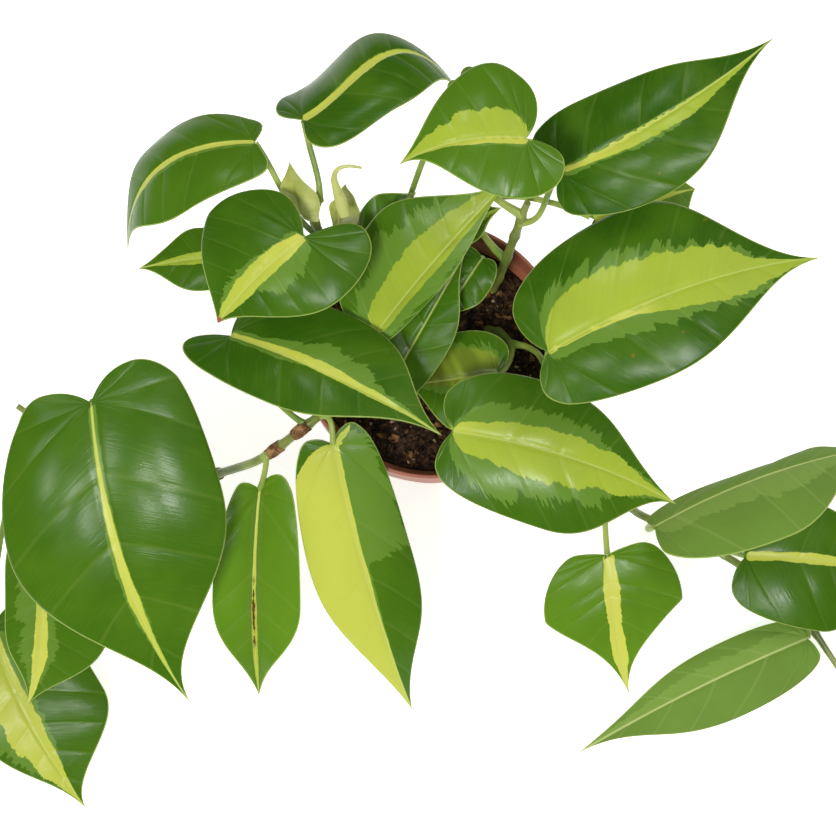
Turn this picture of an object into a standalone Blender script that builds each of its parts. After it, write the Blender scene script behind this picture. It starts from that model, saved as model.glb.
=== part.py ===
"""Potted variegated heartleaf philodendron: pot, soil, stems and leaves as separate pieces.

Lengths are in millimetres in the tables and become metres in place(). +Z is up and the pot stands on
z = 0 with its axis on the origin. The plant was laid out for a pot with a 60 mm rim radius and a
105 mm height; place() spreads it with the pot, so stems and leaves keep clear of the rim.
"""

import math

import bmesh
import bpy
import numpy as np
from mathutils import Vector, noise

MM = 0.001

# Pot
POT_RIM_RADIUS = 60.0
POT_HEIGHT = 105.0
POT_BASE_RADIUS = 43.0
POT_WALL = 1.6
POT_FLOOR = 2.0
COLLAR_HEIGHT = 15.0
COLLAR_STEP = 2.2
DRAIN_HOLES = 8
DRAIN_HOLE_RADIUS = 4.0
DRAIN_RING_RADIUS = 30.0

# Soil
SOIL_DROP = 13.0
SOIL_UNEVENNESS = 1.6
SOIL_RINGS = 9

# Plant: STALK_GAP keeps a stalk off its stem, and STALK_BITE is how far it runs on into its blade.
GAP = 0.3
STALK_GAP = 0.6
STALK_BITE = 0.8
STEM_RADIUS = 2.3
PETIOLE_RADIUS = 1.3
BLADE_THICKNESS = 0.8
SOCKET_DEPTH = 14.0
LAYOUT_RIM_RADIUS = 60.0
LAYOUT_HEIGHT = 105.0
BLADE_ROWS = 11
BLADE_COLUMNS = 3
BLADE_WELD = 0.02
SEAM_WELD = 0.001
SEGMENTS = 40

# Each stem follows these points, from its foot in the soil to its end.
STEMS = {
    "stem_left_trailing": [
        (-27, -15, 82), (-36, -24, 103), (-48, -32, 114), (-57, -39, 115), (-75, -50, 104),
        (-91, -52, 84), (-117, -50, 44), (-142, -42, 13), (-172, -26, 3.2), (-203, -5, 3.2),
    ],
    "stem_right_trailing": [
        (27, -15, 82), (37, -25, 105), (50, -34, 114), (66, -43, 104), (84, -52, 52),
        (97, -58, 14), (112, -64, 3.2), (147, -82, 3.2), (178, -108, 3.2), (196, -134, 3.2),
    ],
    "stem_back_left": [(-22, 10, 82), (-30, 21, 110), (-43, 34, 140), (-51, 43, 158), (-49, 50, 168)],
    "stem_back_right": [(26, 29, 82), (31, 33, 112), (36, 41, 140), (39, 47, 156), (41, 50, 164)],
    "stem_centre": [(22, 12, 82), (26, 11, 92), (31, 8, 99), (36, 2, 103)],
    "stem_middle_left": [(-14, -6, 82), (-15, -6, 96), (-14, -3, 106), (-11, 1, 113)],
}

# Leaf table. joint and tip are the ends of the midrib; widths and lobes are (left, right) of someone
# who walks from joint to tip on the upper face. roll turns the face about the joint-tip line, left
# side down. arch and sway bow the midrib up and to the left. fold is the rise of the two halves at
# the midrib and edge their slope at the margin, in degrees. skew moves the height of the bow towards
# the tip. root is where the stalk leaves its stem; leave and arrive are the handles of its curve.
LEAVES = {
    "leaf_left_top": dict(
        joint=(-77, 75, 172), tip=(-135, 38, 132), width=(27, 22), lobe=(2, 4), peak=(0.42, 0.36),
        drip=(0.3, 0.3), roll=-28, arch=18, sway=-7, fold=6, edge=-30,
        stem="stem_back_left", root=(-47, 38, 150), leave=(-13, 3, 3), arrive=(9, -10, -4)),
    "leaf_top": dict(
        joint=(-55, 81, 184), tip=(12, 98, 170), width=(26, 27), lobe=(9, 2), peak=(0.22, 0.56),
        drip=(0.0, 0.0), roll=30, arch=15, sway=12, skew=0.75, fold=4, edge=-34,
        stem="stem_back_left", root=(-49, 50, 168), leave=(2, 6, 10), arrive=(2, -12, -14)),
    "leaf_top_small": dict(
        joint=(38, 60, 222), tip=(-14, 53, 208), width=(26, 34), lobe=(13, 6), peak=(0.12, 0.2),
        drip=(0.9, 0.4), roll=0, arch=8, sway=-2, fold=6, edge=-25,
        stem="stem_back_right", root=(38, 46, 156), leave=(-42, 18, 16), arrive=(-26, 24, -18)),
    "leaf_top_right": dict(
        joint=(54, 56, 190), tip=(144, 111, 202), width=(27, 30), lobe=(8, 8), peak=(0.24, 0.3),
        drip=(0.5, 0.9), roll=6, arch=10, sway=-7, fold=6, edge=-26,
        stem="stem_back_right", root=(37, 44, 152), leave=(12, -2, 3), arrive=(-8, -7, -14)),
    "leaf_right": dict(
        joint=(49, -18, 172), tip=(167, 25, 166), width=(46, 33), lobe=(8, 8), peak=(0.42, 0.32),
        drip=(1.2, 0.6), roll=4, arch=14, sway=3, fold=6, edge=-24,
        stem="stem_centre", root=(36, 2, 103), leave=(18, -3, 10), arrive=(-3, -6, -30)),
    "leaf_pale_behind": dict(
        joint=(70, 44, 160), tip=(115, 60, 152), width=(20, 21), lobe=(4, 4), peak=(0.55, 0.55),
        drip=(0.0, 0.0), roll=0, arch=4, sway=0, fold=4, edge=-14,
        stem="stem_back_right", root=(31, 35, 122), leave=(-34, 26, 22), arrive=(-34, 18, -2)),
    "leaf_lower_right": dict(
        joint=(9, -46, 141), tip=(108, -73, 112), width=(32, 34), lobe=(7, 4), peak=(0.28, 0.46),
        drip=(0.5, 0.7), roll=0, arch=10, sway=3, fold=8, edge=-24,
        stem="stem_right_trailing", root=(37, -25, 105), leave=(-4, -22, 2), arrive=(6, -8, -18)),
    "leaf_big_left": dict(
        joint=(-149, -32, 135), tip=(-107, -159, 82), width=(52, 47), lobe=(12, 9),
        peak=(0.36, 0.36), drip=(0.95, 0.95), roll=0, arch=14, sway=-9, fold=10, edge=-26,
        stem="stem_left_trailing", root=(-101, -52, 68), leave=(-14, 4, 16), arrive=(6, 12, -22)),
    "leaf_folded": dict(
        joint=(-77.5, -64, 97.5), tip=(-79, -152, 56), width=(23.5, 19.5), lobe=(8, 4), peak=(0.5, 0.5),
        drip=(0.35, 0.3), roll=0, arch=8, sway=-2, fold=36, edge=6,
        stem="stem_left_trailing", root=(-76, -50, 103), leave=(2, 4, 8), arrive=(4, 8, 6)),
    "leaf_half_lime": dict(
        joint=(-44, -47, 116), tip=(-9, -156, 30), width=(24, 24), lobe=(7, 5), peak=(0.42, 0.34),
        drip=(0.5, 0.3), roll=0, arch=11, sway=-3, fold=6, edge=-22,
        stem="stem_left_trailing", root=(-50, -34, 115), leave=(6, 0, 6), arrive=(0, 8, 4)),
    "leaf_round": dict(
        joint=(-55, 30, 180), tip=(-92, -3, 162), width=(31, 39), lobe=(20, 6), peak=(0.12, 0.44),
        drip=(0.2, 0.0), roll=-4, arch=7, sway=0, fold=5, edge=-30,
        stem="stem_back_left", root=(-44, 34, 142), leave=(-8, -4, 10), arrive=(-3, 4, -16)),
    "leaf_centre_left": dict(
        joint=(-88, -3, 140), tip=(4, -49, 146), width=(31, 23), lobe=(2, 19), peak=(0.5, 0.3),
        drip=(0.5, 0.7), roll=10, arch=12, sway=-1, fold=6, edge=-22,
        stem="stem_left_trailing", root=(-55, -38, 115), leave=(-10, 4, 3), arrive=(4, -12, -8)),
    "leaf_centre_lime": dict(
        joint=(-24, -1, 140), tip=(32, 55, 178), width=(33, 10), lobe=(5, 3), peak=(0.40, 0.42),
        drip=(0.35, 0.35), roll=0, arch=8, sway=0, fold=12, edge=-16,
        stem="stem_middle_left", root=(-15, -6, 98), leave=(-16, 6, 3), arrive=(-3, -3, -20)),
    "leaf_centre_dark": dict(
        joint=(-19, -22, 122), tip=(14, 33, 140), width=(15, 15), lobe=(4, 4), peak=(0.42, 0.42),
        drip=(0.4, 0.3), roll=3, arch=1, sway=0, fold=6, edge=-12,
        stem="stem_middle_left", root=(-14, -3, 106), leave=(-2, -9, 2), arrive=(1, 1, -8)),
    "leaf_small_dark": dict(
        joint=(22, 34, 132), tip=(5, 8, 122), width=(11, 14), lobe=(2, 2), peak=(0.36, 0.4),
        drip=(0.3, 0.4), roll=0, arch=4, sway=0, fold=4, edge=-16,
        stem="stem_back_right", root=(28, 31, 104), leave=(-3, 4, 5), arrive=(1, 2, -9)),
    "leaf_behind_lime": dict(
        joint=(3, 43, 132), tip=(30, 50, 157), width=(12, 10), lobe=(3, 3), peak=(0.45, 0.45),
        drip=(0.3, 0.1), roll=0, arch=3, sway=0, fold=4, edge=-10,
        stem="stem_back_right", root=(26, 31, 94), leave=(-10, 2, 6), arrive=(-2, 2, -10)),
    "leaf_mottled": dict(
        joint=(29, -15, 119), tip=(-11, -18, 107), width=(24, 22), lobe=(6, 6), peak=(0.45, 0.45),
        drip=(0.2, 0.1), roll=0, arch=0, sway=0, fold=4, edge=-10,
        stem="stem_centre", root=(36, 2, 103), leave=(1, -6, 3), arrive=(4, 2, -8)),
    "leaf_behind_left": dict(
        joint=(-84, 34, 138), tip=(-131, 31, 126), width=(15, 14), lobe=(4, 4), peak=(0.35, 0.35),
        drip=(0.5, 0.5), roll=0, arch=4, sway=0, fold=6, edge=-18,
        stem="stem_back_left", root=(-37, 28, 126), leave=(-12, 8, -2), arrive=(12, -1, -4)),
    "leaf_behind_top": dict(
        joint=(-30, 40, 152), tip=(-7, 56, 160), width=(9, 11), lobe=(3, 3), peak=(0.45, 0.45),
        drip=(0.3, 0.3), roll=0, arch=3, sway=0, fold=4, edge=-10,
        stem="stem_back_left", root=(-34, 25, 122), leave=(9, 3, 2), arrive=(-2, -3, -10)),
    "leaf_trail_left_short": dict(
        joint=(-183, -84, 64), tip=(-190, -154, 26), width=(32, 17), lobe=(6, 4), peak=(0.5, 0.4),
        drip=(0.6, 0.6), roll=8, arch=8, sway=5, fold=10, edge=-18,
        stem="stem_left_trailing", root=(-176, -23, 3.2), leave=(2, -6, 14), arrive=(0, 14, -4)),
    "leaf_trail_left_long": dict(
        joint=(-208, -120, 25), tip=(-163, -201, 6), width=(38, 24), lobe=(8, 6), peak=(0.5, 0.4),
        drip=(0.9, 0.7), roll=6, arch=5, sway=-4, fold=8, edge=-16,
        stem="stem_left_trailing", root=(-197, -9, 3.2), leave=(-6, -8, 12), arrive=(-2, 20, 0)),
    "leaf_small_heart": dict(
        joint=(81, -88, 62), tip=(94, -151, 24), width=(34, 32), lobe=(2.4, 2.2), peak=(0.36, 0.34),
        drip=(2.2, 2.2), roll=0, arch=8, sway=-3, fold=4, edge=-20,
        stem="stem_right_trailing", root=(78, -49, 70), leave=(2, -12, 6), arrive=(-2, 14, 6)),
    "leaf_trail_right_pale": dict(
        joint=(103, -75, 66), tip=(207, -38, 64), width=(18, 40), lobe=(2, 3), peak=(0.6, 0.46),
        drip=(0.5, 0.5), roll=50, arch=10, sway=-6, fold=4, edge=-34,
        stem="stem_right_trailing", root=(112, -64, 3.2), leave=(-3, 3, 14), arrive=(-8, -4, -10)),
    "leaf_trail_right_dark": dict(
        joint=(149, -84, 34), tip=(224, -91, 16), width=(26, 34), lobe=(5, 6), peak=(0.4, 0.5),
        drip=(0.6, 0.5), roll=0, arch=6, sway=2, fold=6, edge=-16,
        stem="stem_right_trailing", root=(142, -79, 3.2), leave=(-4, 5, 10), arrive=(-9, 3, -8)),
    "leaf_trail_right_low": dict(
        joint=(179, -121, 17), tip=(69, -175, 6), width=(21, 15), lobe=(2, 2),
        peak=(0.36, 0.3), drip=(0.9, 0.3), roll=0, arch=6, sway=-2, fold=6, edge=-12,
        stem="stem_right_trailing", root=(178, -108, 3.2), leave=(-2, -2, 8), arrive=(3, 8, -2)),
    "leaf_back_young": dict(
        joint=(12, 98, 186), tip=(36, 74, 192), width=(10, 10), lobe=(3, 3), peak=(0.35, 0.35),
        drip=(0.5, 0.5), roll=0, arch=2, sway=0, fold=6, edge=-12,
        stem="stem_back_left", root=(-30, 21, 110), leave=(14, 10, 14), arrive=(-24, -34, -30)),
    "sheath_left": dict(
        joint=(-57, 45, 163), tip=(-61, 63, 182), width=(6, 14), lobe=(2, 2), peak=(0.25, 0.22),
        drip=(0.6, 0.8), roll=20, arch=-3, sway=2, fold=20, edge=40),
    "sheath_right": dict(
        joint=(-41, 40, 161), tip=(-37.5, 56, 172), width=(4.5, 9), lobe=(2, 2), peak=(0.4, 0.4),
        drip=(0.3, 0.2), roll=-20, arch=-3, sway=0, fold=20, edge=40),
}

# Rolled young leaf: points and radius along it.
ROLLED_LEAF = [
    (-37.5, 41, 175.5, 2.3), (-39, 45.4, 180, 2.6), (-40.6, 49.2, 185, 1.9), (-41.7, 52.9, 190, 1.3),
    (-39.9, 55.6, 194, 0.9), (-35.3, 56.6, 195, 0.7), (-30, 56.4, 193, 0.5),
]


def place(points):
    """Spread layout points in millimetres with the pot and return them in metres."""
    p = np.array(points, float).reshape(-1, 3)
    spread = POT_RIM_RADIUS / LAYOUT_RIM_RADIUS
    below = np.minimum(p[:, 2], LAYOUT_HEIGHT) * POT_HEIGHT / LAYOUT_HEIGHT
    above = np.maximum(p[:, 2] - LAYOUT_HEIGHT, 0.0)
    return np.column_stack([p[:, 0] * spread, p[:, 1] * spread, below + above]) * MM


def bezier(a, b, c, d, t):
    t = t[:, None]
    return a * (1 - t) ** 3 + 3 * b * t * (1 - t) ** 2 + 3 * c * t * t * (1 - t) + d * t ** 3


def smooth_path(points, steps):
    """Catmull-Rom curve through the points."""
    p = np.asarray(points, float)
    p = np.vstack([2 * p[0] - p[1], p, 2 * p[-1] - p[-2]])
    t = np.linspace(0, 1, steps, endpoint=False)
    out = []
    for i in range(1, len(p) - 2):
        leave, arrive = (p[i + 1] - p[i - 1]) / 6, (p[i + 2] - p[i]) / 6
        out.append(bezier(p[i], p[i] + leave, p[i + 1] - arrive, p[i + 1], t))
    out.append(p[-2][None])
    return np.vstack(out)


def frame(leaf):
    """Length and forward, left and up directions of a leaf, in layout millimetres."""
    joint, tip = np.array(leaf["joint"], float), np.array(leaf["tip"], float)
    length = np.linalg.norm(tip - joint)
    ahead = (tip - joint) / length
    left = np.cross((0, 0, 1), ahead)
    left /= np.linalg.norm(left)
    up = np.cross(ahead, left)
    roll = math.radians(leaf["roll"])
    up = up * math.cos(roll) + left * math.sin(roll)
    return length, ahead, np.cross(up, ahead), up


def margin(leaf, side, length, t):
    """Outline of one half in the flat leaf: distance along the midrib and out from it."""
    width, lobe = leaf["width"][side], leaf["lobe"][side]
    peak, drip = leaf["peak"][side] * length, leaf["drip"][side]
    pinch = max(0.0, drip - 1.0)
    back = np.array([-lobe, 0.42 * width])
    wide = np.array([peak, width])
    end = np.array([length, 0.0])
    sinus = np.zeros(2)
    run = length - peak
    first = bezier(sinus, np.array([-0.5 * lobe, 0.08 * width]), back - (0, 0.2 * width), back,
                   np.clip(t / 0.2, 0, 1))
    second = bezier(back, back + (0, 0.32 * width), wide - (0.55 * (peak + lobe), 0), wide,
                    np.clip((t - 0.2) / 0.33, 0, 1))
    third = bezier(wide, wide + (run * (0.46 - 0.28 * pinch), 0),
                   end + (-run * (0.42 + 0.28 * pinch), 0.38 * width * (1 - min(drip, 1.0))), end,
                   np.clip((t - 0.53) / 0.47, 0, 1))
    out = np.where((t < 0.2)[:, None], first, second)
    return np.where((t < 0.53)[:, None], out, third)


def blade_point(leaf, side, along, out):
    """Bend flat leaf coordinates into the leaf's arched and cupped face, in layout millimetres."""
    length, ahead, left, up = frame(leaf)
    sign = 1.0 if side == 0 else -1.0
    width = leaf["width"][side]
    start, end = math.radians(leaf["fold"]), math.radians(leaf["edge"])
    turn = (end - start) / width
    slope = start + turn * out
    across = (np.sin(slope) - math.sin(start)) / turn
    rise = -(np.cos(slope) - math.cos(start)) / turn
    s = along / length
    skew = 1 + leaf.get("skew", 0.0) * (2 * s - 1)
    bow = np.where(s > 0, 4 * s * (1 - s) * skew, 4 * s * (1 - leaf.get("skew", 0.0)))
    sway = np.where(s > 0, bow, 0) * leaf["sway"]
    return (np.array(leaf["joint"], float) + ahead * along[..., None]
            + left * (sign * across + sway)[..., None]
            + up * (rise + bow * leaf["arch"])[..., None])


def blade_grid(leaf, side, rows, columns):
    """Points of one half, row by row from the sinus round to the tip, column 0 on the midrib."""
    length = frame(leaf)[0]
    t = np.linspace(0, 1, rows + 1)
    edge = margin(leaf, side, length, t)
    x = (edge[:, 0] + margin(leaf, 1 - side, length, t)[:, 0]) / (2 * length)
    vein = length * np.clip(x - 0.30 * np.clip(1 - x, 0, 2) ** 0.8, 0, 1)
    q = np.linspace(0, 1, columns + 1)[None, :]
    along = vein[:, None] + (edge[:, 0] - vein)[:, None] * q ** 1.25
    out = edge[:, 1][:, None] * q
    return blade_point(leaf, side, along, out)


# === building

def clear_scene():
    for old in list(bpy.data.objects):
        bpy.data.objects.remove(old, do_unlink=True)


def material(name, colour, roughness, metallic=0.0):
    mat = bpy.data.materials.new(name)
    mat.use_nodes = True
    shader = mat.node_tree.nodes["Principled BSDF"]
    shader.inputs["Base Color"].default_value = (*colour, 1.0)
    shader.inputs["Roughness"].default_value = roughness
    shader.inputs["Metallic"].default_value = metallic
    mat.diffuse_color = (*colour, 1.0)
    return mat


def add_object(name, data, mat):
    obj = bpy.data.objects.new(name, data)
    bpy.context.scene.collection.objects.link(obj)
    if mat:
        data.materials.append(mat)
    return obj


def make_guide(obj):
    obj.hide_render = True
    obj.display_type = "WIRE"


def mesh_from(points, faces, smooth=True):
    mesh = bpy.data.meshes.new("mesh")
    mesh.from_pydata([tuple(p) for p in points], [], faces)
    mesh.update()
    if smooth:
        mesh.shade_smooth()
    return mesh


def tube(name, points, radius, mat, resolution=2):
    """Round tube along points in metres."""
    curve = bpy.data.curves.new(name, "CURVE")
    curve.dimensions = "3D"
    curve.bevel_depth = radius * MM
    curve.bevel_resolution = resolution
    curve.use_fill_caps = True
    spline = curve.splines.new("POLY")
    spline.points.add(len(points) - 1)
    for point, target in zip(spline.points, points):
        point.co = (*target, 1.0)
        point.radius = 1.0
    return add_object(name, curve, mat)


def weld(data, distance, recalculate=False):
    """Merge the vertices of a mesh that lie within a distance of each other."""
    welded = bmesh.new()
    welded.from_mesh(data)
    bmesh.ops.remove_doubles(welded, verts=welded.verts, dist=distance)
    if recalculate:
        bmesh.ops.recalc_face_normals(welded, faces=welded.faces)
    welded.to_mesh(data)
    welded.free()


def solid_copy(obj, name):
    """Plain mesh object made from a curve, used as a Boolean operand."""
    graph = bpy.context.evaluated_depsgraph_get()
    data = bpy.data.meshes.new_from_object(obj.evaluated_get(graph))
    data.name = name
    weld(data, SEAM_WELD * MM, recalculate=True)
    bpy.data.objects.remove(obj, do_unlink=True)
    return add_object(name, data, None)


def combine(obj, operand, operation):
    make_guide(operand)
    step = obj.modifiers.new(operation.lower(), "BOOLEAN")
    step.operation = operation
    step.solver = "EXACT"
    step.use_self = operation == "UNION"
    step.object = operand


def revolve(name, profile, mat):
    """Closed profile of (radius, height) pairs in millimetres, turned round the pot's axis."""
    mesh = bpy.data.meshes.new(name)
    turned = bmesh.new()
    loop = [turned.verts.new((r * MM, 0, z * MM)) for r, z in profile]
    edges = [turned.edges.new((loop[i], loop[(i + 1) % len(loop)])) for i in range(len(loop))]
    bmesh.ops.spin(turned, geom=loop + edges, cent=(0, 0, 0), axis=(0, 0, 1), angle=2 * math.pi,
                   steps=SEGMENTS, use_merge=True)
    bmesh.ops.remove_doubles(turned, verts=turned.verts, dist=SEAM_WELD * MM)
    bmesh.ops.recalc_face_normals(turned, faces=turned.faces)
    turned.to_mesh(mesh)
    turned.free()
    mesh.shade_smooth()
    return add_object(name, mesh, mat)


def wall_radius(z):
    """Outer radius of the tapering body at a height."""
    top = POT_RIM_RADIUS - COLLAR_STEP
    return POT_BASE_RADIUS + (top - POT_BASE_RADIUS) * z / POT_HEIGHT


def inner_radius(z):
    """Inner radius of the pot at a height, in millimetres."""
    return wall_radius(z) - POT_WALL


def build_pot():
    """Open tapered pot with a stepped collar, a floor and a ring of drain holes."""
    terracotta = material("pot_plastic", (0.42, 0.13, 0.07), 0.5)
    step_z = POT_HEIGHT - COLLAR_HEIGHT
    centre = 0.0
    profile = [
        (centre, 0), (POT_BASE_RADIUS, 0), (wall_radius(step_z), step_z),
        (POT_RIM_RADIUS - 0.6, step_z), (POT_RIM_RADIUS, POT_HEIGHT - 0.6),
        (POT_RIM_RADIUS - 0.6, POT_HEIGHT), (POT_RIM_RADIUS - POT_WALL, POT_HEIGHT - 0.4),
        (POT_RIM_RADIUS - POT_WALL - 0.6, step_z + POT_WALL),
        (inner_radius(step_z), step_z + POT_WALL - 0.6),
        (inner_radius(POT_FLOOR), POT_FLOOR), (centre, POT_FLOOR),
    ]
    pot = revolve("pot", profile, terracotta)
    holes = bmesh.new()
    for i in range(DRAIN_HOLES):
        turn = 2 * math.pi * (i + 0.5) / DRAIN_HOLES
        new = bmesh.ops.create_cone(holes, cap_ends=True, segments=16, radius1=DRAIN_HOLE_RADIUS * MM,
                                    radius2=DRAIN_HOLE_RADIUS * MM, depth=4 * POT_FLOOR * MM)
        place_at = (DRAIN_RING_RADIUS * MM * math.cos(turn), DRAIN_RING_RADIUS * MM * math.sin(turn), 0)
        bmesh.ops.translate(holes, verts=new["verts"], vec=place_at)
    data = bpy.data.meshes.new("drain_cutter")
    holes.to_mesh(data)
    holes.free()
    combine(pot, add_object("drain_cutter", data, None), "DIFFERENCE")
    return pot


def build_soil():
    """Root ball that fills the pot up to SOIL_DROP below the rim, with an uneven top."""
    soil_mat = material("soil", (0.030, 0.018, 0.012), 0.95)
    top = POT_HEIGHT - SOIL_DROP
    floor = POT_FLOOR + GAP
    mesh = bpy.data.meshes.new("soil")
    body = bmesh.new()
    edge_low = inner_radius(floor) - GAP
    edge_high = inner_radius(min(top, POT_HEIGHT - COLLAR_HEIGHT)) - GAP
    bottom = [body.verts.new((edge_low * MM * math.cos(a), edge_low * MM * math.sin(a), floor * MM))
              for a in np.linspace(0, 2 * math.pi, SEGMENTS, endpoint=False)]
    body.faces.new(list(reversed(bottom)))
    outer = bottom
    for ring in range(SOIL_RINGS):
        share = 1 - ring / SOIL_RINGS
        radius = edge_high * share
        verts = []
        for i in range(SEGMENTS):
            a = 2 * math.pi * i / SEGMENTS
            x, y = radius * math.cos(a), radius * math.sin(a)
            bump = noise.noise(Vector((x, y, 3.0)) * 0.11) * SOIL_UNEVENNESS * (1 - share ** 4)
            verts.append(body.verts.new((x * MM, y * MM, (top + bump) * MM)))
        for i in range(SEGMENTS):
            k = (i + 1) % SEGMENTS
            body.faces.new((outer[i], outer[k], verts[k], verts[i]))
        outer = verts
    crown = body.verts.new((0, 0, top * MM))
    for i in range(SEGMENTS):
        body.faces.new((outer[i], outer[(i + 1) % SEGMENTS], crown))
    body.to_mesh(mesh)
    body.free()
    return add_object("soil", mesh, soil_mat)


def stem_path(name):
    """Points of a stem in metres, its foot SOCKET_DEPTH into the soil."""
    points = [list(p) for p in STEMS[name]]
    foot = LAYOUT_HEIGHT - (SOIL_DROP + SOCKET_DEPTH) * LAYOUT_HEIGHT / POT_HEIGHT
    points[0][2] = foot
    return smooth_path(place(points), 4)


def nearest_on(path, target):
    return int(np.argmin(np.linalg.norm(path - target, axis=1)))


def distance_to(path, point):
    """Shortest distance from a point to a polyline."""
    start, step = path[:-1], np.diff(path, axis=0)
    share = np.clip(np.sum((point - start) * step, axis=1) / np.sum(step ** 2, axis=1), 0, 1)
    return np.linalg.norm(start + step * share[:, None] - point, axis=1).min()


def stalk_path(leaf, path, steps=7):
    """Curve of a leaf stalk from just clear of its stem to the joint of its blade, in metres."""
    start, joint = path[nearest_on(path, place(leaf["root"])[0])], place(leaf["joint"])[0]
    leave, arrive = (np.array(leaf[k], float) * MM for k in ("leave", "arrive"))
    curve = bezier(start, start + leave, joint + arrive, joint, np.linspace(0, 1, 20 * steps + 1))
    clear = (STEM_RADIUS + STALK_GAP + PETIOLE_RADIUS) * MM
    first = next(i for i, point in enumerate(curve) if distance_to(path, point) > clear)
    keep = np.unique(np.linspace(first, len(curve) - 1, steps).astype(int))
    curve = curve[keep]
    final = curve[-1] - curve[-2]
    curve[-1] += final / np.linalg.norm(final) * STALK_BITE * MM
    return curve


def build_leaf(name, leaf, green):
    """One leaf: a thin blade with its stalk grown into it."""
    points, faces = [], []
    for side in (0, 1):
        grid = blade_grid(leaf, side, BLADE_ROWS, BLADE_COLUMNS)
        rows, columns = grid.shape[:2]
        start = len(points)
        points.extend(place(grid))
        for i in range(rows - 1):
            for j in range(columns - 1):
                corner = start + i * columns + j
                ring = [corner, corner + 1, corner + columns + 1, corner + columns]
                faces.append(ring if side else ring[::-1])
    mesh = mesh_from(points, faces)
    weld(mesh, BLADE_WELD * MM)
    blade = add_object(name, mesh, green)
    skin = blade.modifiers.new("thickness", "SOLIDIFY")
    skin.thickness = BLADE_THICKNESS * MM
    skin.offset = 0
    if "stem" not in leaf:
        return blade
    stalk = tube(name + "_stalk", stalk_path(leaf, stem_path(leaf["stem"])), PETIOLE_RADIUS, None)
    combine(blade, solid_copy(stalk, name + "_stalk"), "UNION")
    return blade


def build_stems(soil):
    bark = material("stem_green", (0.17, 0.22, 0.05), 0.5)
    for name in STEMS:
        path = stem_path(name)
        tube(name, path, STEM_RADIUS, bark)
        start = path[0] - (path[1] - path[0]) / np.linalg.norm(path[1] - path[0]) * GAP * MM
        inside = np.vstack([start, path[1:9]])
        cutter = tube(name + "_socket", inside, STEM_RADIUS + GAP, None)
        combine(soil, solid_copy(cutter, name + "_socket"), "DIFFERENCE")


def build_rolled_leaf(pale):
    """Young leaf still rolled up, tapering to a hooked tip."""
    spread = place([p[:3] for p in ROLLED_LEAF])
    rows = np.column_stack([spread / MM, [p[3] for p in ROLLED_LEAF]])
    rows = smooth_path(rows, 3)
    roll = tube("leaf_new_rolled", rows[:, :3] * MM, 1.0, pale)
    for point, radius in zip(roll.data.splines[0].points, rows[:, 3]):
        point.radius = radius


def main():
    clear_scene()
    build_pot()
    soil = build_soil()
    build_stems(soil)
    green = material("leaf_green", (0.05, 0.14, 0.02), 0.4)
    pale = material("young_pale_green", (0.55, 0.60, 0.22), 0.45)
    for name, leaf in LEAVES.items():
        build_leaf(name, leaf, green if "stem" in leaf else pale)
    build_rolled_leaf(pale)


main()
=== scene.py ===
"""Looks of a potted variegated heartleaf philodendron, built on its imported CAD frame."""

import math

import bmesh
import bpy
import numpy as np
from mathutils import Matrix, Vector, noise


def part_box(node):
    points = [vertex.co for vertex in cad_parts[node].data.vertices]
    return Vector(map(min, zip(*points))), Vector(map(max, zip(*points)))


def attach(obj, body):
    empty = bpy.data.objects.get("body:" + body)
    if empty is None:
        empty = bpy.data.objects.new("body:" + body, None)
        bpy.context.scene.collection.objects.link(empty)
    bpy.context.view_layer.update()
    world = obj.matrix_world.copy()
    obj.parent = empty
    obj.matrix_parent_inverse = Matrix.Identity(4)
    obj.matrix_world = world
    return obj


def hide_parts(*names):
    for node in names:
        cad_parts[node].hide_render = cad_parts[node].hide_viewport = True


bl_info = {
    "name": "Potted Variegated Philodendron",
    "version": (1, 0, 0),
    "blender": (4, 5, 0),
    "location": "View3D > Sidebar > Plant",
    "description": "Builds the leaves, stems, soil and pot of a trailing philodendron",
    "category": "Add Mesh",
}

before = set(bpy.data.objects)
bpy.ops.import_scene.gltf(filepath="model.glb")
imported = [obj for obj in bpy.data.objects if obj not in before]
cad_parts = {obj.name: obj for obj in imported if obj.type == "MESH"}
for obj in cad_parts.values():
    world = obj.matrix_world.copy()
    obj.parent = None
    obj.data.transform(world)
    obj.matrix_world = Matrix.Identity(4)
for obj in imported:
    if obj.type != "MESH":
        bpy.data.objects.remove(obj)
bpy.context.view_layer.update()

MM = 0.001
POT_RIM_RADIUS = 60.0
POT_HEIGHT = 105.0
POT_BASE_RADIUS = 43.0
POT_WALL = 1.6
POT_FLOOR = 2.0
COLLAR_HEIGHT = 15.0
COLLAR_STEP = 2.2
DRAIN_HOLES = 8
DRAIN_HOLE_RADIUS = 4.0
DRAIN_RING_RADIUS = 30.0
POT_SEGMENTS = 120
SOIL_DROP = 13.0
SOIL_CLEARANCE = 0.3
SOIL_RINGS = 60
STEM_RADIUS = 2.3
PETIOLE_RADIUS = 1.3
CAMERA_AIM = (-6.3, -32.5, 105.0)
CAMERA_DISTANCE = 1100.0
CAMERA_ELEVATION = 78.0
CAMERA_LENS = 105.63
FLOOR_Z = -0.0003
LOBE_END, WIDE_END = 0.2, 0.53
BOX_SLACK = 0.008


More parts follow.
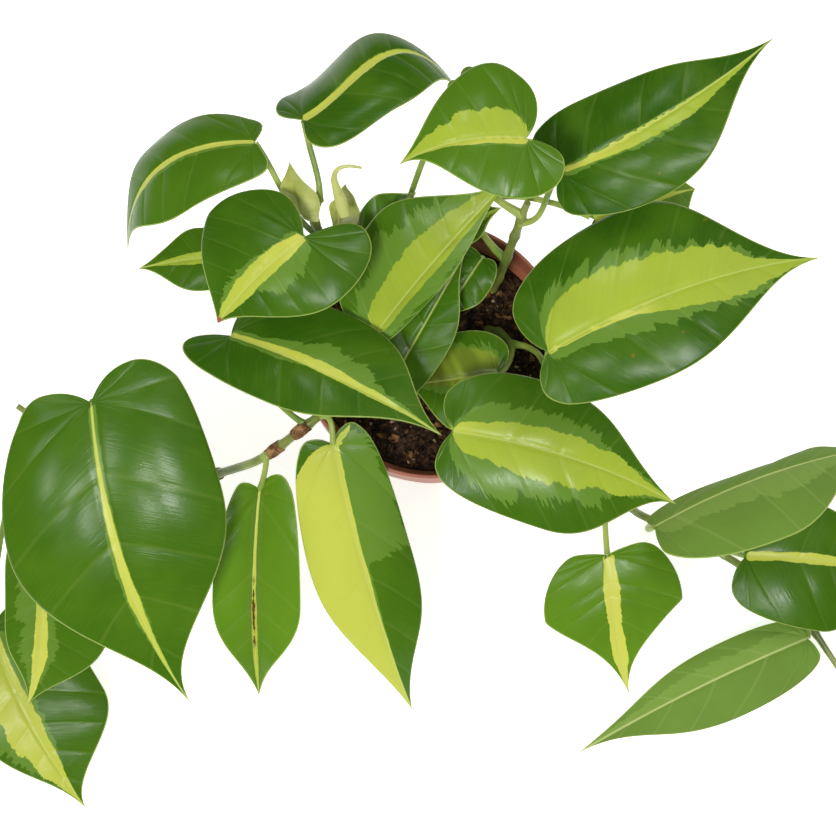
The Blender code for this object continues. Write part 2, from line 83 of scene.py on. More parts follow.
# Each stem follows these points, from its foot in the soil to its end.
STEMS = {
    "stem_left_trailing": [
        (-27, -15, 82), (-36, -24, 103), (-48, -32, 114), (-57, -39, 115), (-75, -50, 104),
        (-91, -52, 84), (-117, -50, 44), (-142, -42, 13), (-172, -26, 3.2), (-203, -5, 3.2),
    ],
    "stem_right_trailing": [
        (27, -15, 82), (37, -25, 105), (50, -34, 114), (66, -43, 104), (84, -52, 52),
        (97, -58, 14), (112, -64, 3.2), (147, -82, 3.2), (178, -108, 3.2), (196, -134, 3.2),
    ],
    "stem_back_left": [(-22, 10, 82), (-30, 21, 110), (-43, 34, 140), (-51, 43, 158), (-49, 50, 168)],
    "stem_back_right": [(26, 29, 82), (31, 33, 112), (36, 41, 140), (39, 47, 156), (41, 50, 164)],
    "stem_centre": [(22, 12, 82), (26, 11, 92), (31, 8, 99), (36, 2, 103)],
    "stem_middle_left": [(-14, -6, 82), (-15, -6, 96), (-14, -3, 106), (-11, 1, 113)],
}

# Leaf table. joint and tip are the ends of the midrib; widths and lobes are (left, right) of someone
# who walks from joint to tip on the upper face. roll turns the face about the joint-tip line, left
# side down. arch and sway bow the midrib up and to the left. fold is the rise of the two halves at
# the midrib and edge their slope at the margin, in degrees. skew moves the height of the bow towards
# the tip. root is where the stalk leaves its stem; leave and arrive are the handles of its curve.
LEAVES = {
    "leaf_left_top": dict(
        joint=(-77, 75, 172), tip=(-135, 38, 132), width=(27, 22), lobe=(2, 4), peak=(0.42, 0.36),
        drip=(0.3, 0.3), roll=-28, arch=18, sway=-7, fold=6, edge=-30,
        stem="stem_back_left", root=(-47, 38, 150), leave=(-13, 3, 3), arrive=(9, -10, -4)),
    "leaf_top": dict(
        joint=(-55, 81, 184), tip=(12, 98, 170), width=(26, 27), lobe=(9, 2), peak=(0.22, 0.56),
        drip=(0.0, 0.0), roll=30, arch=15, sway=12, skew=0.75, fold=4, edge=-34,
        stem="stem_back_left", root=(-49, 50, 168), leave=(2, 6, 10), arrive=(2, -12, -14)),
    "leaf_top_small": dict(
        joint=(38, 60, 222), tip=(-14, 53, 208), width=(26, 34), lobe=(13, 6), peak=(0.12, 0.2),
        drip=(0.9, 0.4), roll=0, arch=8, sway=-2, fold=6, edge=-25,
        stem="stem_back_right", root=(38, 46, 156), leave=(-42, 18, 16), arrive=(-26, 24, -18)),
    "leaf_top_right": dict(
        joint=(54, 56, 190), tip=(144, 111, 202), width=(27, 30), lobe=(8, 8), peak=(0.24, 0.3),
        drip=(0.5, 0.9), roll=6, arch=10, sway=-7, fold=6, edge=-26,
        stem="stem_back_right", root=(37, 44, 152), leave=(12, -2, 3), arrive=(-8, -7, -14)),
    "leaf_right": dict(
        joint=(49, -18, 172), tip=(167, 25, 166), width=(46, 33), lobe=(8, 8), peak=(0.42, 0.32),
        drip=(1.2, 0.6), roll=4, arch=14, sway=3, fold=6, edge=-24,
        stem="stem_centre", root=(36, 2, 103), leave=(18, -3, 10), arrive=(-3, -6, -30)),
    "leaf_pale_behind": dict(
        joint=(70, 44, 160), tip=(115, 60, 152), width=(20, 21), lobe=(4, 4), peak=(0.55, 0.55),
        drip=(0.0, 0.0), roll=0, arch=4, sway=0, fold=4, edge=-14,
        stem="stem_back_right", root=(31, 35, 122), leave=(-34, 26, 22), arrive=(-34, 18, -2)),
    "leaf_lower_right": dict(
        joint=(9, -46, 141), tip=(108, -73, 112), width=(32, 34), lobe=(7, 4), peak=(0.28, 0.46),
        drip=(0.5, 0.7), roll=0, arch=10, sway=3, fold=8, edge=-24,
        stem="stem_right_trailing", root=(37, -25, 105), leave=(-4, -22, 2), arrive=(6, -8, -18)),
    "leaf_big_left": dict(
        joint=(-149, -32, 135), tip=(-107, -159, 82), width=(52, 47), lobe=(12, 9),
        peak=(0.36, 0.36), drip=(0.95, 0.95), roll=0, arch=14, sway=-9, fold=10, edge=-26,
        stem="stem_left_trailing", root=(-101, -52, 68), leave=(-14, 4, 16), arrive=(6, 12, -22)),
    "leaf_folded": dict(
        joint=(-77.5, -64, 97.5), tip=(-79, -152, 56), width=(23.5, 19.5), lobe=(8, 4), peak=(0.5, 0.5),
        drip=(0.35, 0.3), roll=0, arch=8, sway=-2, fold=36, edge=6,
        stem="stem_left_trailing", root=(-76, -50, 103), leave=(2, 4, 8), arrive=(4, 8, 6)),
    "leaf_half_lime": dict(
        joint=(-44, -47, 116), tip=(-9, -156, 30), width=(24, 24), lobe=(7, 5), peak=(0.42, 0.34),
        drip=(0.5, 0.3), roll=0, arch=11, sway=-3, fold=6, edge=-22,
        stem="stem_left_trailing", root=(-50, -34, 115), leave=(6, 0, 6), arrive=(0, 8, 4)),
    "leaf_round": dict(
        joint=(-55, 30, 180), tip=(-92, -3, 162), width=(31, 39), lobe=(20, 6), peak=(0.12, 0.44),
        drip=(0.2, 0.0), roll=-4, arch=7, sway=0, fold=5, edge=-30,
        stem="stem_back_left", root=(-44, 34, 142), leave=(-8, -4, 10), arrive=(-3, 4, -16)),
    "leaf_centre_left": dict(
        joint=(-88, -3, 140), tip=(4, -49, 146), width=(31, 23), lobe=(2, 19), peak=(0.5, 0.3),
        drip=(0.5, 0.7), roll=10, arch=12, sway=-1, fold=6, edge=-22,
        stem="stem_left_trailing", root=(-55, -38, 115), leave=(-10, 4, 3), arrive=(4, -12, -8)),
    "leaf_centre_lime": dict(
        joint=(-24, -1, 140), tip=(32, 55, 178), width=(33, 10), lobe=(5, 3), peak=(0.40, 0.42),
        drip=(0.35, 0.35), roll=0, arch=8, sway=0, fold=12, edge=-16,
        stem="stem_middle_left", root=(-15, -6, 98), leave=(-16, 6, 3), arrive=(-3, -3, -20)),
    "leaf_centre_dark": dict(
        joint=(-19, -22, 122), tip=(14, 33, 140), width=(15, 15), lobe=(4, 4), peak=(0.42, 0.42),
        drip=(0.4, 0.3), roll=3, arch=1, sway=0, fold=6, edge=-12,
        stem="stem_middle_left", root=(-14, -3, 106), leave=(-2, -9, 2), arrive=(1, 1, -8)),
    "leaf_small_dark": dict(
        joint=(22, 34, 132), tip=(5, 8, 122), width=(11, 14), lobe=(2, 2), peak=(0.36, 0.4),
        drip=(0.3, 0.4), roll=0, arch=4, sway=0, fold=4, edge=-16,
        stem="stem_back_right", root=(28, 31, 104), leave=(-3, 4, 5), arrive=(1, 2, -9)),
    "leaf_behind_lime": dict(
        joint=(3, 43, 132), tip=(30, 50, 157), width=(12, 10), lobe=(3, 3), peak=(0.45, 0.45),
        drip=(0.3, 0.1), roll=0, arch=3, sway=0, fold=4, edge=-10,
        stem="stem_back_right", root=(26, 31, 94), leave=(-10, 2, 6), arrive=(-2, 2, -10)),
    "leaf_mottled": dict(
        joint=(29, -15, 119), tip=(-11, -18, 107), width=(24, 22), lobe=(6, 6), peak=(0.45, 0.45),
        drip=(0.2, 0.1), roll=0, arch=0, sway=0, fold=4, edge=-10,
        stem="stem_centre", root=(36, 2, 103), leave=(1, -6, 3), arrive=(4, 2, -8)),
    "leaf_behind_left": dict(
        joint=(-84, 34, 138), tip=(-131, 31, 126), width=(15, 14), lobe=(4, 4), peak=(0.35, 0.35),
        drip=(0.5, 0.5), roll=0, arch=4, sway=0, fold=6, edge=-18,
        stem="stem_back_left", root=(-37, 28, 126), leave=(-12, 8, -2), arrive=(12, -1, -4)),
    "leaf_behind_top": dict(
        joint=(-30, 40, 152), tip=(-7, 56, 160), width=(9, 11), lobe=(3, 3), peak=(0.45, 0.45),
        drip=(0.3, 0.3), roll=0, arch=3, sway=0, fold=4, edge=-10,
        stem="stem_back_left", root=(-34, 25, 122), leave=(9, 3, 2), arrive=(-2, -3, -10)),
    "leaf_trail_left_short": dict(
        joint=(-183, -84, 64), tip=(-190, -154, 26), width=(32, 17), lobe=(6, 4), peak=(0.5, 0.4),
        drip=(0.6, 0.6), roll=8, arch=8, sway=5, fold=10, edge=-18,
        stem="stem_left_trailing", root=(-176, -23, 3.2), leave=(2, -6, 14), arrive=(0, 14, -4)),
    "leaf_trail_left_long": dict(
        joint=(-208, -120, 25), tip=(-163, -201, 6), width=(38, 24), lobe=(8, 6), peak=(0.5, 0.4),
        drip=(0.9, 0.7), roll=6, arch=5, sway=-4, fold=8, edge=-16,
        stem="stem_left_trailing", root=(-197, -9, 3.2), leave=(-6, -8, 12), arrive=(-2, 20, 0)),
    "leaf_small_heart": dict(
        joint=(81, -88, 62), tip=(94, -151, 24), width=(34, 32), lobe=(2.4, 2.2), peak=(0.36, 0.34),
        drip=(2.2, 2.2), roll=0, arch=8, sway=-3, fold=4, edge=-20,
        stem="stem_right_trailing", root=(78, -49, 70), leave=(2, -12, 6), arrive=(-2, 14, 6)),
    "leaf_trail_right_pale": dict(
        joint=(103, -75, 66), tip=(207, -38, 64), width=(18, 40), lobe=(2, 3), peak=(0.6, 0.46),
        drip=(0.5, 0.5), roll=50, arch=10, sway=-6, fold=4, edge=-34,
        stem="stem_right_trailing", root=(112, -64, 3.2), leave=(-3, 3, 14), arrive=(-8, -4, -10)),
    "leaf_trail_right_dark": dict(
        joint=(149, -84, 34), tip=(224, -91, 16), width=(26, 34), lobe=(5, 6), peak=(0.4, 0.5),
        drip=(0.6, 0.5), roll=0, arch=6, sway=2, fold=6, edge=-16,
        stem="stem_right_trailing", root=(142, -79, 3.2), leave=(-4, 5, 10), arrive=(-9, 3, -8)),
    "leaf_trail_right_low": dict(
        joint=(179, -121, 17), tip=(69, -175, 6), width=(21, 15), lobe=(2, 2),
        peak=(0.36, 0.3), drip=(0.9, 0.3), roll=0, arch=6, sway=-2, fold=6, edge=-12,
        stem="stem_right_trailing", root=(178, -108, 3.2), leave=(-2, -2, 8), arrive=(3, 8, -2)),
    "leaf_back_young": dict(
        joint=(12, 98, 186), tip=(36, 74, 192), width=(10, 10), lobe=(3, 3), peak=(0.35, 0.35),
        drip=(0.5, 0.5), roll=0, arch=2, sway=0, fold=6, edge=-12,
        stem="stem_back_left", root=(-30, 21, 110), leave=(14, 10, 14), arrive=(-24, -34, -30)),
    "sheath_left": dict(
        joint=(-57, 45, 163), tip=(-61, 63, 182), width=(6, 14), lobe=(2, 2), peak=(0.25, 0.22),
        drip=(0.6, 0.8), roll=20, arch=-3, sway=2, fold=20, edge=40),
    "sheath_right": dict(
        joint=(-41, 40, 161), tip=(-37.5, 56, 172), width=(4.5, 9), lobe=(2, 2), peak=(0.4, 0.4),
        drip=(0.3, 0.2), roll=-20, arch=-3, sway=0, fold=20, edge=40),
}

# Rolled young leaf: points and radius along it.
ROLLED_LEAF = [
    (-37.5, 41, 175.5, 2.3), (-39, 45.4, 180, 2.6), (-40.6, 49.2, 185, 1.9), (-41.7, 52.9, 190, 1.3),
    (-39.9, 55.6, 194, 0.9), (-35.3, 56.6, 195, 0.7), (-30, 56.4, 193, 0.5),
]

# Colour bands of each leaf, one pair per half: how far from the midrib (0) to the margin (1) the lime
# and the mid green reach, at places round the leaf from the sinus (0) to the tip (1). tone lightens a
# leaf, specks spots it, and a turned leaf shows its underside.
LOOKS = {
    "leaf_left_top": dict(
        lime=([(0, 0), (0.3, 0.03), (0.7, 0.09), (1, 0.2)], [(0, 0), (0.5, 0.05), (1, 0.1)]),
        mid=([(0, 0), (1, 0.25)], [(0, 0), (1, 0.1)]), tone=0.42),
    "leaf_top": dict(
        lime=([(0, 0.02), (0.4, 0.08), (1, 0.16)], [(0, 0.02), (0.4, 0.07), (1, 0.12)]),
        mid=([(0, 0), (1, 0.2)], [(0, 0), (1, 0.1)]), tone=0.12),
    "leaf_top_small": dict(
        lime=([(0, 0.3), (0.12, 0.35), (0.2, 0.06), (0.7, 0.12), (1, 0.3)],
              [(0, 0.3), (0.08, 0.7), (0.13, 0.25), (0.42, 0.2), (0.6, 0.34), (0.8, 0.5), (1, 0.8)]),
        mid=([(0, 0.35), (0.2, 0.12), (1, 0.2)], [(0, 0.45), (0.1, 0.85), (0.15, 0.2), (1, 0.5)]),
        tone=0.6),
    "leaf_top_right": dict(
        lime=([(0, 0.05), (0.1, 0.2), (0.18, 0.0), (0.8, 0.02), (1, 0.1)],
              [(0, 0), (0.5, 0.03), (0.58, 0.12), (0.7, 0.3), (0.85, 0.5), (1, 0.6)]),
        mid=([(0, 0), (1, 0.1)], [(0, 0), (0.55, 0.14), (0.7, 0.36), (1, 0.6)]), tone=0.05, specks=0.35),
    "leaf_right": dict(
        lime=([(0, 0.02), (0.32, 0.04), (0.38, 0.26), (0.46, 0.4), (0.6, 0.45), (0.8, 0.58), (1, 0.4)],
              [(0, 0.0), (0.5, 0.03), (0.6, 0.12), (0.7, 0.38), (0.8, 0.6), (0.88, 0.95), (1, 1)]),
        mid=([(0, 0.04), (0.28, 0.06), (0.34, 0.4), (0.42, 0.68), (0.55, 0.52), (0.8, 0.64), (1, 0.5)],
             [(0, 0.22), (0.08, 0.3), (0.14, 0.04), (0.5, 0.2), (0.62, 0.42), (0.74, 0.6), (0.86, 1)]),
        tone=0.1, specks=0.2),
    "leaf_pale_behind": dict(
        lime=([(0, 0.1), (1, 0.1)], [(0, 0.1), (1, 0.1)]), mid=([(0, 1.2), (1, 1.2)], [(0, 1.2), (1, 1.2)]),
        tone=0.9),
    "leaf_lower_right": dict(
        lime=([(0, 0.6), (0.1, 0.55), (0.14, 0.06), (0.42, 0.08), (0.52, 0.24), (0.75, 0.45), (1, 0.8)],
              [(0, 0.03), (0.38, 0.08), (0.46, 0.26), (0.56, 0.42), (0.75, 0.52), (1, 0.9)]),
        mid=([(0, 0.85), (0.12, 0.75), (0.17, 0.12), (0.42, 0.24), (0.52, 0.55), (0.8, 0.6), (1, 0.9)],
             [(0, 0.1), (0.3, 0.4), (0.4, 0.76), (0.5, 0.8), (0.62, 0.62), (0.8, 0.7), (1, 0.95)]),
        tone=0.25, specks=0.3),
    "leaf_big_left": dict(
        lime=([(0, 0), (0.5, 0.012), (0.58, 0.03), (0.72, 0.06), (0.78, 0.1), (0.89, 0.16), (1, 0.3)],
              [(0, 0), (0.5, 0.012), (0.58, 0.025), (0.72, 0.07), (0.78, 0.12), (0.89, 0.15), (1, 0.3)]),
        mid=([(0, 0), (0.7, 0.06), (1, 0.3)], [(0, 0), (0.6, 0.04), (0.7, 0.12), (1, 0.3)]), tone=0.3),
    "leaf_folded": dict(
        lime=([(0, 0.02), (0.6, 0.06), (0.8, 0.16), (0.9, 0.3), (1, 0.5)],
              [(0, 0.02), (0.6, 0.04), (0.8, 0.12), (0.9, 0.25), (1, 0.4)]),
        mid=([(0, 0), (1, 0.3)], [(0, 0), (1, 0.3)]), tone=1.0, ripe=0.5, specks=0.25, scar=1.0),
    "leaf_half_lime": dict(
        lime=([(0, 0.12), (0.1, 0.2), (0.16, 0.7), (0.21, 0.95), (0.26, 0.3), (0.36, 0.12),
               (0.6, 0.06), (1, 0.1)],
              [(0, 0.1), (0.12, 0.12), (0.24, 0.3), (0.34, 0.7), (0.42, 1.3), (1, 1.3)]),
        mid=([(0, 0.2), (0.15, 0.7), (0.3, 0.9), (0.5, 1.0), (0.57, 0.6), (0.64, 0.12), (1, 0.12)],
             [(0, 0.1), (0.3, 0.45), (0.4, 1.3), (1, 1.3)]), tone=0.35, ripe=0.55, specks=0.7),
    "leaf_round": dict(
        lime=([(0, 0), (0.45, 0.03), (0.58, 0.12), (0.75, 0.2), (1, 0.5)],
              [(0, 0.0), (0.45, 0.03), (0.58, 0.12), (0.75, 0.2), (0.9, 0.3), (1, 0.6)]),
        mid=([(0, 0.02), (0.48, 0.12), (0.58, 0.42), (0.7, 0.5), (0.78, 0.26), (1, 0.5)],
             [(0, 0), (0.6, 0.14), (1, 0.6)]), tone=0.2, ripe=0.3, tip_scar=1.0),
    "leaf_centre_left": dict(
        lime=([(0, 0.02), (0.5, 0.06), (0.6, 0.13), (0.75, 0.12), (0.88, 0.2), (1, 0.5)],
              [(0, 0), (0.55, 0.04), (0.7, 0.08), (1, 0.3)]),
        mid=([(0, 0.1), (0.5, 0.12), (0.6, 0.4), (0.72, 0.5), (0.8, 0.34), (1, 0.5)],
             [(0, 0), (0.56, 0.14), (0.62, 0.06), (1, 0.3)]), tone=0.12),
    "leaf_centre_lime": dict(
        lime=([(0, 0.1), (0.4, 0.2), (0.55, 0.35), (0.7, 0.42), (0.85, 0.6), (1, 1.2)],
              [(0, 0.2), (0.5, 0.3), (0.8, 0.5), (1, 1.2)]),
        mid=([(0, 0.4), (0.4, 0.6), (0.6, 0.8), (0.8, 0.85), (1, 1.3)], [(0, 0.5), (0.5, 0.9), (1, 1.3)]),
        tone=0.4, muted=0.3),
    "leaf_centre_dark": dict(tone=0.28),
    "leaf_small_dark": dict(tone=0.2),
    "leaf_behind_lime": dict(
        lime=([(0, 0.1), (1, 0.2)], [(0, 0.25), (0.6, 0.4), (1, 0.7)]), tone=0.3),
    "leaf_mottled": dict(
        lime=([(0, 0), (0.4, 0.1), (1, 0.2)], [(0, 0.06), (0.25, 0.35), (0.5, 0.62), (0.8, 0.7), (1, 0.9)]),
        mid=([(0, 0.1), (0.4, 0.25), (1, 0.4)], [(0, 0.2), (0.3, 0.6), (0.6, 0.8), (1, 1)]),
        tone=0.35, muted=1.0),
    "leaf_behind_left": dict(
        lime=([(0, 0.1), (0.5, 0.16), (1, 0.3)], [(0, 0.1), (0.5, 0.18), (1, 0.3)]), tone=0.35),
    "leaf_behind_top": dict(
        lime=([(0, 0.1), (1, 0.15)], [(0, 0.15), (1, 0.3)]), tone=0.4),
    "leaf_back_young": dict(tone=0.8),
    "leaf_trail_left_short": dict(
        lime=([(0, 0.02), (0.5, 0.06), (0.7, 0.14), (0.85, 0.3), (1, 0.6)],
              [(0, 0.02), (0.5, 0.08), (0.7, 0.2), (0.85, 0.4), (1, 0.7)]),
        mid=([(0, 0.1), (0.5, 0.2), (1, 0.6)], [(0, 0.3), (0.5, 0.6), (1, 0.9)]), tone=0.45, ripe=0.8),
    "leaf_trail_left_long": dict(ripe=0.5,
        lime=([(0, 0.03), (0.5, 0.1), (1, 0.3)], [(0, 0.1), (0.4, 0.5), (0.7, 0.7), (1, 0.9)]),
        mid=([(0, 0.05), (1, 0.3)], [(0, 0.2), (0.5, 0.7), (1, 1)]), tone=0.35),
    "leaf_small_heart": dict(
        lime=([(0, 0.05), (0.5, 0.11), (0.66, 0.16), (0.8, 0.24), (0.9, 0.7), (1, 1.1)],
              [(0, 0.04), (0.5, 0.08), (0.66, 0.12), (0.8, 0.18), (0.9, 0.6), (1, 1)]),
        mid=([(0, 0), (0.8, 0.1), (1, 1)], [(0, 0), (0.8, 0.1), (1, 0.6)]), tone=1.0, ripe=0.8),
    "leaf_trail_right_pale": dict(
        lime=([(0, 0), (1, 0.04)], [(0, 0), (1, 0.04)]),
        mid=([(0, 0), (1, 0)], [(0, 0.1), (0.4, 0.3), (0.7, 0.5), (1, 0.6)]), tone=0.7, soft=1.0),
    "leaf_trail_right_dark": dict(
        lime=([(0, 0.06), (1, 0.12)], [(0, 0.06), (1, 0.1)]), tone=0.3),
    "leaf_trail_right_low": dict(
        lime=([(0, 0), (1, 0.03)], [(0, 0), (1, 0.03)]),
        mid=([(0, 0), (1, 0)], [(0, 0.2), (1, 0.8)]), tone=0.75, soft=1.0),
    "sheath_left": dict(tone=1.0, young=1.0),
    "sheath_right": dict(tone=1.0, young=1.0),
}


# Places of the nodes along each stem, as a share of its length, and how many of them keep a dry sheath.
NODES_ALONG = {
    "stem_left_trailing": ((0.12, 0.2, 0.26, 0.44, 0.62, 0.8, 0.93), 4),
    "stem_right_trailing": ((0.12, 0.2, 0.3, 0.48, 0.64, 0.8, 0.93), 1),
    "stem_back_left": ((0.3, 0.52, 0.72, 0.88), 0),
    "stem_back_right": ((0.3, 0.52, 0.72, 0.88), 0),
    "stem_centre": ((0.35, 0.65), 0),
    "stem_middle_left": ((0.4, 0.7), 0),
}
# Shapes of the plant, in layout millimetres


def bezier(a, b, c, d, t):
    t = t[:, None]
    return a * (1 - t) ** 3 + 3 * b * t * (1 - t) ** 2 + 3 * c * t * t * (1 - t) + d * t ** 3


def smooth_path(points, steps):
    """Catmull-Rom curve through the points."""
    p = np.asarray(points, float)
    p = np.vstack([2 * p[0] - p[1], p, 2 * p[-1] - p[-2]])
    t = np.linspace(0, 1, steps, endpoint=False)
    out = []
    for i in range(1, len(p) - 2):
        leave, arrive = (p[i + 1] - p[i - 1]) / 6, (p[i + 2] - p[i]) / 6
        out.append(bezier(p[i], p[i] + leave, p[i + 1] - arrive, p[i + 1], t))
    out.append(p[-2][None])
    return np.vstack(out)


def leaf_axes(leaf):
    """Length and forward, left and up directions of a leaf."""
    joint, tip = np.array(leaf["joint"], float), np.array(leaf["tip"], float)
    length = np.linalg.norm(tip - joint)
    ahead = (tip - joint) / length
    left = np.cross((0, 0, 1), ahead)
    left /= np.linalg.norm(left)
    up = np.cross(ahead, left)
    roll = math.radians(leaf["roll"])
    up = up * math.cos(roll) + left * math.sin(roll)
    return length, ahead, np.cross(up, ahead), up


def margin(leaf, side, length, t):
    """Outline of one half in the flat leaf: distance along the midrib and out from it.

    The lobe's back, the widest place and the tip are reached at shares LOBE_END, WIDE_END and 1.
    """
    width, lobe = leaf["width"][side], leaf["lobe"][side]
    peak, drip = leaf["peak"][side] * length, leaf["drip"][side]
    pinch = max(0.0, drip - 1.0)
    back = np.array([-lobe, 0.42 * width])
    wide = np.array([peak, width])
    end = np.array([length, 0.0])
    sinus = np.zeros(2)
    run = length - peak
    first = bezier(sinus, np.array([-0.5 * lobe, 0.08 * width]), back - (0, 0.2 * width), back,
                   np.clip(t / LOBE_END, 0, 1))
    second = bezier(back, back + (0, 0.32 * width), wide - (0.55 * (peak + lobe), 0), wide,
                    np.clip((t - LOBE_END) / (WIDE_END - LOBE_END), 0, 1))
    third = bezier(wide, wide + (run * (0.46 - 0.28 * pinch), 0),
                   end + (-run * (0.42 + 0.28 * pinch), 0.38 * width * (1 - min(drip, 1.0))), end,
                   np.clip((t - WIDE_END) / (1 - WIDE_END), 0, 1))
    out = np.where((t < LOBE_END)[:, None], first, second)
    return np.where((t < WIDE_END)[:, None], out, third)


def blade_point(leaf, side, along, out, lift):
    """Bend flat leaf coordinates into the arched and cupped face; lift is the fine relief."""
    length, ahead, left, up = leaf_axes(leaf)
    sign = 1.0 if side == 0 else -1.0
    width = leaf["width"][side]
    start, end = math.radians(leaf["fold"]), math.radians(leaf["edge"])
    turn = (end - start) / width
    slope = start + turn * out
    across = (np.sin(slope) - math.sin(start)) / turn
    rise = -(np.cos(slope) - math.cos(start)) / turn
    s = along / length
    skew = 1 + leaf.get("skew", 0.0) * (2 * s - 1)
    bow = np.where(s > 0, 4 * s * (1 - s) * skew, 4 * s * (1 - leaf.get("skew", 0.0)))
    sway = np.where(s > 0, bow, 0) * leaf["sway"]
    lean = slope * np.clip(out / RIB_WIDTH, 0, 1)
    return (np.array(leaf["joint"], float) + ahead * along[..., None]
            + left * (sign * (across - lift * np.sin(lean)) + sway)[..., None]
            + up * (rise + lift * np.cos(lean) + bow * leaf["arch"])[..., None])


def stalk_points(leaf, stem):
    """Curve of a leaf stalk from the middle of its stem to the joint of its blade."""
    path = smooth_path(STEMS[stem], 8)
    start = path[int(np.argmin(np.linalg.norm(path - leaf["root"], axis=1)))]
    joint = np.array(leaf["joint"], float)
    leave, arrive = np.array(leaf["leave"], float), np.array(leaf["arrive"], float)
    return bezier(start, start + leave, joint + arrive, joint, np.linspace(0, 1, STALK_STEPS))


# Node tree helpers


class Wires:
    """Adds nodes to a tree and links them from left to right."""

    def __init__(self, tree):
        self.tree = tree

    def node(self, kind, values=None, **settings):
        made = self.tree.nodes.new(kind)
        for key, value in settings.items():
            setattr(made, key, value)
        for key, value in (values or {}).items():
            self.feed(made.inputs[key], value)
        return made

    def feed(self, socket, value):
        if isinstance(value, bpy.types.NodeSocket):
            self.tree.links.new(value, socket)
        else:
            socket.default_value = value

    def math(self, operation, a, b=0.0, clamp=False):
        made = self.node("ShaderNodeMath", {0: a, 1: b}, operation=operation, use_clamp=clamp)
        return made.outputs[0]

    def mix(self, factor, a, b, blend="MIX"):
        made = self.node("ShaderNodeMix", {0: factor, 6: a, 7: b}, data_type="RGBA", blend_type=blend)
        return made.outputs[2]

    def value(self, name):
        return self.node("ShaderNodeAttribute", attribute_name=name).outputs["Fac"]

    def vector(self, x, y, z):
        return self.node("ShaderNodeCombineXYZ", {0: x, 1: y, 2: z}).outputs[0]

    def noise(self, vector, scale, detail=2.0, roughness=0.5):
        made = self.node("ShaderNodeTexNoise", {"Vector": vector, "Scale": scale, "Detail": detail,
                                                "Roughness": roughness})
        return made.outputs["Fac"]

    def band(self, value, low, high, smooth=True):
        """0 below low, 1 above high."""
        made = self.node("ShaderNodeMapRange", {"Value": value, "From Min": low, "From Max": high},
                         interpolation_type="SMOOTHSTEP" if smooth else "LINEAR")
        return made.outputs["Result"]

    def here(self):
        return self.node("ShaderNodeTexCoord").outputs["Object"]


def new_material(name):
    mat = bpy.data.materials.new(name)
    mat.use_nodes = True
    mat.node_tree.nodes.clear()
    wires = Wires(mat.node_tree)
    shader = wires.node("ShaderNodeBsdfPrincipled")
    out = wires.node("ShaderNodeOutputMaterial")
    wires.feed(out.inputs["Surface"], shader.outputs["BSDF"])
    return mat, wires, shader


def rgba(colour, scale=1.0):
    return tuple(min(1.0, c * scale) for c in colour[:3]) + (1.0,)


